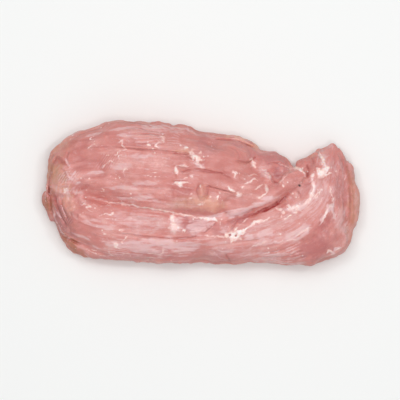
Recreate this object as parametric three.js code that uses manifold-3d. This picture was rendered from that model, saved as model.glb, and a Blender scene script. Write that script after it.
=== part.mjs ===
import * as THREE from "three";
import { mergeVertices } from "three/addons/utils/BufferGeometryUtils.js";
import Module from "manifold-3d";

// A raw pork tenderloin, folded in half and lying on its flat underside.
// Millimetres, +Z up. The origin is the middle of the underside, +X points to the two loose ends,
// and +Y is across the meat, from the thin tail half to the thick head half.
// The meat is one closed body: overlapping folds of muscle, each a rounded slab with an outline
// of its own, are blended into one field of depths, and a surface net is stretched over it.
// The closed body is then brought to the length, width and height given here.

// Driving dimensions
const LENGTH = 202.6;
const WIDTH = 92.8;
const HEIGHT = 38.6;
const WAIST = 12; // height of the widest level of the two halves
const BELLY = 15; // how far the rounded underside would reach below the waist before it is cut flat
const GRID = {
  // [from, to, step] along each axis for the cells of the surface net, finer where the folds show
  x: [[-110, -30, 4.2], [-30, 74, 2.2], [74, 110, 3.2]],
  y: [[-55, -30, 3.4], [-30, 32, 2.2], [32, 55, 3.4]],
  z: [[-10, 16, 5.2], [16, 43, 2.4]],
};
const BLEND = 3.6; // how softly one fold runs into the next

// Outlines are closed smooth curves through [x, y]. A crown is a few [x, y, height] over which the
// top passes. Edge is how far in from the outline the side takes to round over to the top.
// The head and tail halves lie side by side. The web of silverskin bridges the furrow between them,
// and the core fills the meat under that furrow. The strip, the band, the layer and the two flaps
// are loose edges of muscle that lie against the halves or on them.
const FOLDS = {
  tail_half: {
    edge: 19,
    waist: WAIST,
    belly: BELLY,
    outline: [
      [-98, -5], [-94.5, -15], [-91.5, -22], [-88.5, -27], [-83, -29.5], [-75, -33.5], [-63, -39.5],
      [-45, -44], [-18.5, -44], [2.5, -44.5], [19.5, -45.5], [34.5, -44.5], [50, -46.5],
      [65, -46.5], [78.5, -44], [89, -39.5], [93.5, -32], [94, -18.5], [92.5, -5], [91.5, 8],
      [90.5, 19], [89, 27], [84, 30.8], [80.5, 29.5], [77.5, 28], [74.4, 27.6], [72.6, 25.6],
      [67.5, 22.8], [61.5, 20], [56.5, 10], [44, 0], [25, -3], [-13.5, -3], [-51.5, 0], [-83, 2],
    ],
    crown: [
      [-90, -10, 27], [-84, -22, 29], [-52, -28, 31], [-13, -29, 31], [18, -27, 31], [44, -23, 31],
      [63, -15, 31], [76, -2, 30], [81, 14, 26], [83, 26, 19],
    ],
  },
  under_strip: {
    edge: 5,
    waist: 9,
    belly: 12,
    outline: [
      [-96, -14], [-93, -20], [-89.5, -29], [-86, -34], [-81.5, -37.5], [-73, -41], [-62, -42.5],
      [-52, -40], [-58, -32], [-74, -25], [-84, -17],
    ],
    crown: [[-88, -28, 17], [-75, -37, 19], [-60, -40, 19]],
  },
  web: {
    edge: 6,
    waist: 22,
    belly: 12,
    outline: [
      [-78, -2], [-60, -5], [-40, -9], [-18, -12], [-4, -15.5], [8, -16.5], [14, -18], [17, -25],
      [14, -29], [4, -27.5], [-8, -28.5], [-18, -29], [-40, -27], [-62, -22], [-76, -14],
    ],
    crown: [[-70, -10, 29], [-40, -16, 31], [-10, -21, 32], [8, -22, 31]],
  },
  core: {
    edge: 8,
    waist: 12,
    belly: 15,
    outline: [
      [-88, -12], [-60, -20], [0, -26], [50, -20], [70, -2], [68, 14], [56, 15], [30, 14], [-60, 12],
      [-88, 8],
    ],
    crown: [[-84, 0, 24], [-50, -8, 27], [10, -14, 28], [46, -10, 30.5], [62, 0, 30], [50, 13, 24]],
  },
  outer_band: {
    edge: 10,
    waist: 9,
    belly: 12,
    outline: [
      [84.5, 27], [89, 27], [92.5, 20.5], [98, 15], [99, 6], [101, -3.5], [101, -14.5], [97, -25.5],
      [94.5, -33.5], [88.5, -39], [78.5, -36.5], [75.5, -20.5], [77, 1.5], [79.5, 17.5],
    ],
    crown: [[91, 20, 16], [95, 2, 20], [95, -14, 20], [91, -32, 18]],
  },
  head_half: {
    edge: 17,
    waist: WAIST,
    belly: BELLY,
    outline: [
      [-99, 3.5], [-99, 15.5], [-96, 25], [-89.5, 32], [-82, 37], [-67.5, 43], [-45, 46],
      [-18.5, 43.5], [-5.5, 39.5], [7, 34.5], [21.5, 33.5], [31, 29.5], [35, 23], [35.5, 17],
      [42, 14.5], [45, 9], [49, 3], [47, -6.5], [38.5, -10.5], [28, -13.5], [18.5, -15.5],
      [11, -20.5], [2.5, -21], [-7, -20], [-18.5, -18], [-45, -13], [-70, -7], [-82, -4.5], [-94, -4],
    ],
    crown: [
      [-88, 16, 27], [-77, 8, 32], [-45, 17, 37], [-7, 17, 37], [12, 10, 36], [31, 8, 34],
      [10, 27, 33], [40, 0, 33],
    ],
  },
  back_layer: {
    edge: 9,
    waist: WAIST,
    belly: BELLY,
    outline: [
      [-16.5, 43.5], [-4, 40.5], [9, 38.5], [19.5, 37], [28, 34.5], [38.5, 27], [47.5, 25.5],
      [54, 22.5], [58, 17], [60.5, 13], [56.5, 8], [47, 3], [31, 5], [12, 14.5], [-7, 27],
      [-18.5, 33.5],
    ],
    crown: [[0, 38, 27], [25, 33, 24], [47, 20, 27], [53, 11, 23]],
  },
  tip_flap: {
    edge: 5,
    waist: 27,
    belly: 10,
    outline: [
      [17, -2], [31, 1.5], [42.5, 4], [49.5, 6.5], [53.5, 11], [59, 13.5], [64, 14.3], [67, 12.5],
      [66.5, 9], [61.5, 3.7], [55.5, -0.9], [50, -4.6], [44, -8], [38.5, -10.8], [33, -12.9],
      [27, -14.6], [18.5, -15.5], [13, -10],
    ],
    crown: [[25, -7, 34], [45, -1, 33], [58, 8, 31.5], [66, 13, 28]],
  },
  end_flap: {
    edge: 6,
    waist: 9,
    belly: 9,
    outline: [
      [-99, 1], [-101, -1], [-101.6, -4], [-101.4, -7.5], [-100, -10.5], [-98.4, -13.7],
      [-97, -16.8], [-95.5, -18.2], [-90, -15], [-87, -6], [-91, 1.5],
    ],
    crown: [[-97, -8, 19]],
  },
};

// Grooves between bundles of muscle, each along a smooth open curve. Lip is how far the edge on the
// left of the curve, seen along it, stands proud. A negative depth makes a ridge.
const GROOVES = [
  { path: [[-52, 28], [-30, 26.5], [-18, 25], [-6, 22]], width: 3, depth: 2.3, lip: 0.8 },
  { path: [[-12, 13], [0, 13.6], [8, 12], [19, 9.5]], width: 2.9, depth: 2, lip: 0.5 },
  { path: [[16, 19], [27, 18.5], [37, 23]], width: 2.9, depth: 1.6, lip: 0 },
  { path: [[36, 19], [43, 15], [46, 9], [50, 6]], width: 3.2, depth: 2.2, lip: 0.5 },
  { path: [[8, -18], [22, -16.5], [38, -12], [54, -3], [66, 8]], width: 3.2, depth: 1.2, lip: 0 },
  { path: [[-95, -17], [-89, -26], [-82, -30], [-66, -34]], width: 3.4, depth: 1.6, lip: 0.5 },
  { path: [[-96, 9], [-95.5, -2], [-94, -15]], width: 3.2, depth: 1.6, lip: 0 },
  { path: [[88, 24], [90, 12], [91.5, -4], [91, -24]], width: 3.2, depth: 1.6, lip: 0.4 },
  { path: [[30, -35], [52, -30], [70, -22], [80, -10], [84, 2], [82, 12]], width: 5, depth: -1.6, lip: 0 },
];

// Long low swells and hollows: [x, y, radius along X, radius along Y, rise]
const SWELLS = [
  [4, 22, 13, 6, 1.6],
  [10, 6, 12, 4.5, 1.2],
  [-8, -2, 14, 6, 1],
  [45, 21, 9, 5, 1.2],
  [72, 10, 4, 9, 1.2],
  [60, -24, 16, 6, 1.4],
  [-86, 9, 7, 6, 1.5],
  [-80, 26, 6, 6, -1.4],
  [-78, -16, 9, 9, 1.2],
];

// The gentle unevenness of soft meat: waves [length, direction in degrees, phase, rise]
const WAVES = [
  [41, 20, 0.4, 0.5],
  [27, 105, 2.1, 0.4],
  [19, 62, 4.0, 0.35],
  [14, 150, 1.2, 0.25],
];

const CROWN_REACH = 17; // how far one crown height makes itself felt
const RELIEF_FROM = 9; // grooves and swells fade in from this height
const RELIEF_FULL = 17;
const FADE_SHARE = 0.16; // share of a groove's length over which each end runs out
const GROOVE_REACH = 3.5; // how many of its widths away a groove is last felt
const LIP_PLACE = 1.7; // how many widths beside a groove its lip stands highest
const POINTS_PER_SPAN = 6;
const SETTLE_ROUNDS = 4;
const RELAX_SHARE = 0.5; // how far each vertex goes towards the middle of its neighbours
const SETTLE_REACH = 1.2; // the furthest that a vertex moves in one round of settling
const SLOPE_PROBE = 0.4; // how far apart the field is read to find its slope
const LEAST_SLOPE = 0.5; // a field flatter than this is taken to rise this fast
const FILLED_DEPTH = 0.2; // what a filled crevice counts as inside

const smooth = (t) => t * t * (3 - 2 * t);
const clamp01 = (t) => Math.min(Math.max(t, 0), 1);

function alongCurve(points, closed) {
  const curve = new THREE.CatmullRomCurve3(
    points.map(([x, y]) => new THREE.Vector3(x, y, 0)),
    closed,
    "catmullrom",
    0.5,
  );
  const spans = closed ? points.length : points.length - 1;
  return curve.getPoints(spans * POINTS_PER_SPAN);
}

// Nearest point of a line of points: its distance, the share of the line's length passed there, and
// the side that (x, y) lies on, positive on the left.
function nearest(line, x, y) {
  let best = { distance: Infinity, share: 0, side: 1 };
  for (let i = 0; i + 1 < line.length; i++) {
    const dx = line[i + 1].x - line[i].x;
    const dy = line[i + 1].y - line[i].y;
    const t = clamp01(((x - line[i].x) * dx + (y - line[i].y) * dy) / (dx * dx + dy * dy));
    const ex = x - line[i].x - t * dx;
    const ey = y - line[i].y - t * dy;
    const distance = Math.hypot(ex, ey);
    if (distance < best.distance) {
      best = { distance, share: (i + t) / (line.length - 1), side: Math.sign(dx * ey - dy * ex) || 1 };
    }
  }
  return best;
}

function isInside(line, x, y) {
  let inside = false;
  for (let i = 0; i + 1 < line.length; i++) {
    const [a, b] = [line[i], line[i + 1]];
    if (a.y > y !== b.y > y && x < a.x + ((y - a.y) * (b.x - a.x)) / (b.y - a.y)) inside = !inside;
  }
  return inside;
}

// Depth inside an outline, negative outside it.
function depthInside(line, x, y) {
  const { distance } = nearest(line, x, y);
  return isInside(line, x, y) ? distance : -distance;
}

function crownHeight(crown, x, y) {
  let total = 0;
  let weights = 1e-9;
  for (const [cx, cy, height] of crown) {
    const weight = Math.exp(-((x - cx) ** 2 + (y - cy) ** 2) / (2 * CROWN_REACH ** 2)) + 1e-6;
    total += weight * height;
    weights += weight;
  }
  return total / weights;
}

function grooveRelief(groove, x, y) {
  const { distance, share, side } = nearest(groove.line, x, y);
  if (distance > GROOVE_REACH * groove.width) return 0;
  const fade = smooth(clamp01(Math.min(share, 1 - share) / FADE_SHARE));
  const cut = groove.depth * Math.exp(-((distance / groove.width) ** 2));
  const beside = distance / groove.width - LIP_PLACE;
  const lip = side > 0 ? groove.lip * Math.exp(-(beside ** 2)) : 0;
  return fade * (lip - cut);
}

function relief(x, y) {
  let rise = 0;
  for (const groove of grooves) rise += grooveRelief(groove, x, y);
  for (const [cx, cy, rx, ry, height] of SWELLS) {
    rise += height * Math.exp(-(((x - cx) / rx) ** 2) - ((y - cy) / ry) ** 2);
  }
  for (const [length, degrees, phase, height] of WAVES) {
    const turn = (degrees * Math.PI) / 180;
    const along = x * Math.cos(turn) + y * Math.sin(turn);
    rise += height * Math.sin((2 * Math.PI * along) / length + phase);
  }
  return rise;
}

// Everything about the column over (x, y) that doesn't change with height.
function columnAt(x, y) {
  return {
    rise: relief(x, y),
    folds: folds.map((fold) => ({
      ...fold,
      side: Math.max(0, 1 - depthInside(fold.line, x, y) / fold.edge),
      top: crownHeight(fold.crown, x, y),
    })),
  };
}

// Millimetres inside one fold at height z, negative outside.
function foldDepth({ side, top, waist, belly, edge }, z) {
  const half = z > waist ? top - waist : belly;
  return (1 - Math.hypot(side, (z - waist) / half)) * Math.min(edge, half);
}

function blended(a, b) {
  const mix = Math.max(BLEND - Math.abs(a - b), 0) / BLEND;
  return Math.max(a, b) + (mix * mix * BLEND) / 4;
}

function depthAt(column, z) {
  const body = column.folds.map((fold) => foldDepth(fold, z)).reduce(blended);
  return body + column.rise * smooth(clamp01((z - RELIEF_FROM) / (RELIEF_FULL - RELIEF_FROM)));
}

// True when the corners of one cell that lie on the same side hang together along its edges.
function isPlain(inside) {
  for (const wanted of [true, false]) {
    const members = inside.flatMap((value, n) => (value === wanted ? [n] : []));
    const reached = new Set(members.slice(0, 1));
    for (const n of reached) {
      for (const bit of [1, 2, 4]) if (inside[n ^ bit] === wanted) reached.add(n ^ bit);
    }
    if (reached.size < members.length) return false;
  }
  return true;
}

// Fills the crevices too narrow for the net, where it would touch itself along an edge.
function fillPinches([nx, ny, nz], depths) {
  const steps = [0, 1, 2, 3, 4, 5, 6, 7].map((n) => (n & 1) + nx * (((n >> 1) & 1) + ny * (n >> 2)));
  for (let filled = true; filled; ) {
    filled = false;
    for (let start = 0; start + steps[7] < nx * ny * nz; start++) {
      const cell = steps.map((step) => start + step);
      if (isPlain(cell.map((n) => depths[n] > 0))) continue;
      const outside = cell.filter((n) => depths[n] <= 0);
      const shallowest = outside.reduce((a, b) => (depths[a] > depths[b] ? a : b));
      depths[shallowest] = FILLED_DEPTH;
      filled = true;
    }
  }
}

// A closed quad surface through the zero level of a grid of depths: one vertex for each cell that
// the surface crosses, one quad for each grid edge that it crosses.
function surfaceNet(levels, depths) {
  const [nx, ny, nz] = levels.map((values) => values.length);
  const at = (i, j, k) => i + nx * (j + ny * k);
  const vertexOf = new Map();
  const positions = [];
  const corners = [0, 1].flatMap((c) => [0, 1].flatMap((b) => [0, 1].map((a) => [a, b, c])));
  const edges = corners.flatMap((p) =>
    [0, 1, 2].filter((axis) => p[axis] === 0).map((axis) => [p, p.map((v, n) => (n === axis ? 1 : v))]),
  );
  const vertex = (i, j, k) => {
    const key = at(i, j, k);
    if (vertexOf.has(key)) return vertexOf.get(key);
    const sum = [0, 0, 0];
    let crossings = 0;
    for (const [p, q] of edges) {
      const a = depths[at(i + p[0], j + p[1], k + p[2])];
      const b = depths[at(i + q[0], j + q[1], k + q[2])];
      if (a > 0 === b > 0) continue;
      const t = a / (a - b);
      for (const n of [0, 1, 2]) sum[n] += p[n] + t * (q[n] - p[n]);
      crossings++;
    }
    const index = positions.length / 3;
    for (const [n, start] of [i, j, k].entries()) {
      positions.push(between(levels[n], start + sum[n] / crossings));
    }
    vertexOf.set(key, index);
    return index;
  };
  const triangles = [];
  const quad = (a, b, c, d) => triangles.push(a, b, c, a, c, d);
  for (let k = 1; k + 1 < nz; k++) {
    for (let j = 1; j + 1 < ny; j++) {
      for (let i = 1; i + 1 < nx; i++) {
        const here = depths[at(i, j, k)] > 0;
        for (const axis of [0, 1, 2]) {
          const next = [i, j, k].map((v, n) => v + (n === axis ? 1 : 0));
          if (here === depths[at(...next)] > 0) continue;
          const [u, v] = [(axis + 1) % 3, (axis + 2) % 3];
          const ring = [[0, 0], [-1, 0], [-1, -1], [0, -1]].map(([du, dv]) =>
            vertex(...[i, j, k].map((w, n) => w + (n === u ? du : 0) + (n === v ? dv : 0))),
          );
          quad(...(here ? ring : ring.reverse()));
        }
      }
    }
  }
  return { positions, triangles };
}

// Evens out the net: each vertex goes towards the middle of its neighbours.
function relax(positions, triangles) {
  const sums = new Float64Array(positions.length);
  const counts = new Float64Array(positions.length / 3);
  for (let t = 0; t < triangles.length; t += 3) {
    for (const [from, to] of [[0, 1], [1, 2], [2, 0]]) {
      const [a, b] = [triangles[t + from], triangles[t + to]];
      counts[a]++;
      for (let n = 0; n < 3; n++) sums[3 * a + n] += positions[3 * b + n];
    }
  }
  for (let n = 0; n < positions.length; n++) {
    positions[n] += RELAX_SHARE * (sums[n] / counts[Math.floor(n / 3)] - positions[n]);
  }
}

// Moves each vertex of the net along the slope of the field, towards the true surface.
function settle(positions) {
  for (let n = 0; n < positions.length; n += 3) {
    const [x, y, z] = positions.slice(n, n + 3);
    const column = columnAt(x, y);
    const depth = depthAt(column, z);
    const slope = [
      depthAt(columnAt(x + SLOPE_PROBE, y), z) - depth,
      depthAt(columnAt(x, y + SLOPE_PROBE), z) - depth,
      depthAt(column, z + SLOPE_PROBE) - depth,
    ].map((rise) => rise / SLOPE_PROBE);
    const steepness = Math.hypot(...slope);
    const wanted = Math.abs(depth) / Math.max(steepness, LEAST_SLOPE);
    const move = Math.sign(depth) * Math.min(wanted, SETTLE_REACH);
    slope.forEach((v, a) => (positions[n + a] -= (move * v) / Math.max(steepness, 1e-6)));
  }
}

// Where the grid's planes lie along one axis.
function planes(stretches) {
  const values = [];
  for (const [from, to, step] of stretches) {
    const count = Math.round((to - from) / step);
    for (let n = 0; n < count; n++) values.push(from + ((to - from) * n) / count);
  }
  return [...values, stretches.at(-1)[1]];
}

function between(values, n) {
  const whole = Math.min(Math.floor(n), values.length - 2);
  return values[whole] + (n - whole) * (values[whole + 1] - values[whole]);
}

function stretchNet() {
  const levels = [GRID.x, GRID.y, GRID.z].map(planes);
  const [nx, ny, nz] = levels.map((values) => values.length);
  const depths = new Float32Array(nx * ny * nz);
  for (let j = 0; j < ny; j++) {
    for (let i = 0; i < nx; i++) {
      const column = columnAt(levels[0][i], levels[1][j]);
      for (let k = 0; k < nz; k++) depths[i + nx * (j + ny * k)] = depthAt(column, levels[2][k]);
    }
  }
  fillPinches([nx, ny, nz], depths);
  return surfaceNet(levels, depths);
}

function solidFrom(vertProperties, triVerts) {
  return new wasm.Manifold(new wasm.Mesh({ numProp: 3, vertProperties, triVerts }));
}

// The table that the meat lies on, as a slab to cut the underside flat with.
function slabBelow() {
  const slab = new THREE.BoxGeometry(2 * LENGTH, 2 * WIDTH, BELLY).translate(0, 0, -BELLY / 2);
  slab.deleteAttribute("normal");
  slab.deleteAttribute("uv");
  const merged = mergeVertices(slab);
  return solidFrom(merged.attributes.position.array, new Uint32Array(merged.index.array));
}

// The solid as a mesh of the driving length, width and height, with its middle over the origin.
function geometryOf(solid) {
  const { vertProperties, triVerts } = solid.getMesh();
  const geometry = new THREE.BufferGeometry();
  geometry.setAttribute("position", new THREE.BufferAttribute(vertProperties, 3));
  geometry.setIndex(new THREE.BufferAttribute(triVerts, 1));
  geometry.computeBoundingBox();
  const middle = geometry.boundingBox.getCenter(new THREE.Vector3());
  const size = geometry.boundingBox.getSize(new THREE.Vector3());
  geometry.translate(-middle.x, -middle.y, 0);
  geometry.scale(LENGTH / size.x, WIDTH / size.y, HEIGHT / size.z);
  geometry.computeVertexNormals();
  return geometry;
}

const wasm = await Module();
wasm.setup();

const folds = Object.values(FOLDS).map((fold) => ({ ...fold, line: alongCurve(fold.outline, true) }));
const grooves = GROOVES.map((groove) => ({ ...groove, line: alongCurve(groove.path, false) }));

const net = stretchNet();
for (let round = 0; round < SETTLE_ROUNDS; round++) {
  relax(net.positions, net.triangles);
  settle(net.positions);
}
const meat = new THREE.Mesh(
  geometryOf(
    solidFrom(new Float32Array(net.positions), new Uint32Array(net.triangles)).subtract(slabBelow()),
  ),
  new THREE.MeshStandardMaterial({ color: 0xd8928a, roughness: 0.35, metalness: 0 }),
);
meat.name = "tenderloin";

const tenderloin = new THREE.Group();
tenderloin.add(meat);

export default tenderloin;
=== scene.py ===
import bmesh
import bpy
import numpy as np
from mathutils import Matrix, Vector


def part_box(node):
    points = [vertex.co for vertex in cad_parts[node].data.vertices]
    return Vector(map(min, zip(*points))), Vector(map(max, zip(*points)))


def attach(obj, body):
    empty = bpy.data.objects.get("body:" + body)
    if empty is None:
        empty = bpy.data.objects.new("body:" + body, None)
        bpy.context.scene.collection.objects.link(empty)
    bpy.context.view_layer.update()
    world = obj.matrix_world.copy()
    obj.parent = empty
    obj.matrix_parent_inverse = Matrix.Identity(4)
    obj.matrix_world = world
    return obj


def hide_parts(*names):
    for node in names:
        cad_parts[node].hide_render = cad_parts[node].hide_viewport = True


# A raw pork tenderloin, folded in half, seen from straight above on a pale floor.
# The folds are those of the solid, in millimetres, on a finer net with the smaller creases, the
# bundles of fibre, the fat and the thin silverskin that the solid leaves out.
# +X points to the two loose ends and +Y across the meat, from the thin half to the thick one.
# A path is written as its points, "x,y x,y ...", in millimetres.

MM = 0.001

# How the net is laid over the folds
PLAN_STEP = 0.4
PLAN_HALF = (108, 54)
LAST_CELL = 1.001  # keeps a point on the far edge of a map inside its last cell
GRID = {
    # (from, to, step) stretches of the net's planes along each axis
    "x": [(-106, -22, 0.72), (-22, 106, 0.6)],
    "y": [(-52, 52, 0.62)],
    "z": [(-3, 15, 1.5), (15, 42, 0.6)],
}
POINTS_PER_SPAN = 6
BLEND = 1.3  # how softly one fold runs into the next
FOLD_REACH = 12  # how far outside its outline a fold is still worked out
CROWN_REACH = 17  # how far one crown height makes itself felt
CROWN_LEAST = 1e-6  # its weight further away
CROWN_START = 1e-9  # keeps the sum of the weights above nought
RELIEF_FROM = 9  # creases and swells fade in from this height
RELIEF_FULL = 17
CUT_HEIGHT = 0.3  # where the underside is cut flat, just above the lowest point of the folds
FILLED = 0.2  # how deep inside the meat a filled crevice counts as
SETTLE_ROUNDS = 3
SETTLE_MOST = 0.5  # how far a vertex may move in one round
SETTLE_PROBE = 0.2  # the distance over which the slope of the field is measured
SETTLE_SLOPE = 0.5  # a slope gentler than this counts as this
SLOPE_LEAST = 1e-6  # keeps a level place from dividing by nought

# Creases, measured in their widths
REACH = 3.5  # how far beside its path a crease, and a mark too, is worked out
LIP_PLACE = 1.7
CREASE_FADE = 0.16  # the share of its path over which a crease fades out at each end
SHADE_REACH = 3
SHADE_WIDTH = 0.7
SHADE_DEPTH = 2  # a crease of this depth or more is shaded fully

# Marks, measured in their half-widths
MARK_REACH = 2.1
MARK_END = 0.55  # how wide a mark is at its ends
MARK_FADE = 0.25  # the share of its path over which it narrows to that
FRAY_LEAST = 0.35  # how far the edge of a narrow mark frays
FRAY_GROWTH = 0.45  # how much further for each millimetre of half-width
FAN_FADE = 0.3  # the same for the fibres of a fan
FAN_GAPS = 1.2  # they have fewer gaps when this is higher

# Paths that two tables or more use
LOOP = "-2,6.5 -3,2 -2.4,-2 -0.4,-4.8 2.4,-4.6 3.9,-1.4 3.5,2.4"
LEFT_VALLEY = "-96,16.8 -93.6,19.4 -92.2,22 -90,21.2 -88.4,18.8 -86,18.6 -84,16"
LOW_FOLD = "14.6,-37.6 16.6,-40.6 17.8,-43 18,-45"
FACET = "13,-21.4 15.4,-25"
TAIL_LOW = "60,-39 74,-35 83,-29"
RIGHT_ZONE = "90,21 91.6,12 92,2 91.6,-7"

# Outlines are closed smooth curves. A crown is a few points, "x,y,height", over which the top
# passes. Edge is how far in from the outline the side takes to round over to the top.
FOLDS = {
    "tail_half": {
        "edge": 19, "waist": 12, "belly": 15,
        "outline": (
            "-98,-5 -94.5,-15 -91.5,-22 -88.5,-27 -83,-29.5 -75,-33.5 -63,-39.5 -45,-44 -18.5,-44 "
            "2.5,-44.5 19.5,-45.5 34.5,-44.5 50,-46.5 65,-46.5 78.5,-44 89,-39.5 93.5,-32 "
            "94,-18.5 92.5,-5 91.5,8 90.5,19 89,27 84,30.8 80.5,29.5 77.5,28 74.4,27.6 72.6,25.6 "
            "67.5,22.8 61.5,20 56.5,10 44,0 25,-3 -13.5,-3 -51.5,0 -83,2"
        ),
        "crown": (
            "-90,-10,27 -84,-22,29 -52,-28,31 -13,-29,31 18,-27,31 44,-23,31 63,-15,31 76,-2,30 "
            "81,14,26 83,26,19"
        ),
    },
    "under_strip": {
        "edge": 5, "waist": 9, "belly": 12,
        "outline": (
            "-96,-14 -93,-20 -89.5,-29 -86,-34 -81.5,-37.5 -73,-41 -62,-42.5 -52,-40 -58,-32 "
            "-74,-25 -84,-17"
        ),
        "crown": "-88,-28,17 -75,-37,19 -60,-40,19",
    },
    "web": {
        "edge": 6, "waist": 22, "belly": 12,
        "outline": (
            "-78,-2 -60,-5 -40,-9 -18,-12 -4,-15.5 8,-16.5 14,-18 17,-25 14,-29 4,-27.5 -8,-28.5 "
            "-18,-29 -40,-27 -62,-22 -76,-14"
        ),
        "crown": "-70,-10,29 -40,-16,31 -10,-21,32 8,-22,31",
    },
    "core": {
        "edge": 8, "waist": 12, "belly": 15,
        "outline": "-88,-12 -60,-20 0,-26 50,-20 70,-2 68,14 56,15 30,14 -60,12 -88,8",
        "crown": "-84,0,24 -50,-8,27 10,-14,28 46,-10,30.5 62,0,30 50,13,24",
    },
    "outer_band": {
        "edge": 10, "waist": 9, "belly": 12,
        "outline": (
            "84.5,27 89,27 92.5,20.5 98,15 99,6 101,-3.5 101,-14.5 97,-25.5 94.5,-33.5 88.5,-39 "
            "78.5,-36.5 75.5,-20.5 77,1.5 79.5,17.5"
        ),
        "crown": "91,20,16 95,2,20 95,-14,20 91,-32,18",
    },
    "head_half": {
        "edge": 17, "waist": 12, "belly": 15,
        "outline": (
            "-99,3.5 -99,15.5 -96,25 -89.5,32 -82,37 -67.5,43 -45,46 -18.5,43.5 -5.5,39.5 7,34.5 "
            "21.5,33.5 31,29.5 35,23 35.5,17 42,14.5 45,9 49,3 47,-6.5 38.5,-10.5 28,-13.5 "
            "18.5,-15.5 11,-20.5 2.5,-21 -7,-20 -18.5,-18 -45,-13 -70,-7 -82,-4.5 -94,-4"
        ),
        "crown": "-88,16,27 -77,8,32 -45,17,37 -7,17,37 12,10,36 31,8,34 10,27,33 40,0,33",
    },
    "back_layer": {
        "edge": 9, "waist": 12, "belly": 15,
        "outline": (
            "-16.5,43.5 -4,40.5 9,38.5 19.5,37 28,34.5 38.5,27 47.5,25.5 54,22.5 58,17 60.5,13 "
            "56.5,8 47,3 31,5 12,14.5 -7,27 -18.5,33.5"
        ),
        "crown": "0,38,27 25,33,24 47,20,27 53,11,23",
    },
    "tip_flap": {
        "edge": 5, "waist": 27, "belly": 10,
        "outline": (
            "17,-2 31,1.5 42.5,4 49.5,6.5 53.5,11 59,13.5 64,14.3 67,12.5 66.5,9 61.5,3.7 "
            "55.5,-0.9 50,-4.6 44,-8 38.5,-10.8 33,-12.9 27,-14.6 18.5,-15.5 13,-10"
        ),
        "crown": "25,-7,34 45,-1,33 58,8,31.5 66,13,28",
    },
    "end_flap": {
        "edge": 6, "waist": 9, "belly": 9,
        "outline": (
            "-99,1 -101,-1 -101.6,-4 -101.4,-7.5 -100,-10.5 -98.4,-13.7 -97,-16.8 -95.5,-18.2 "
            "-90,-15 -87,-6 -91,1.5"
        ),
        "crown": "-97,-8,19",
    },
}

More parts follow.
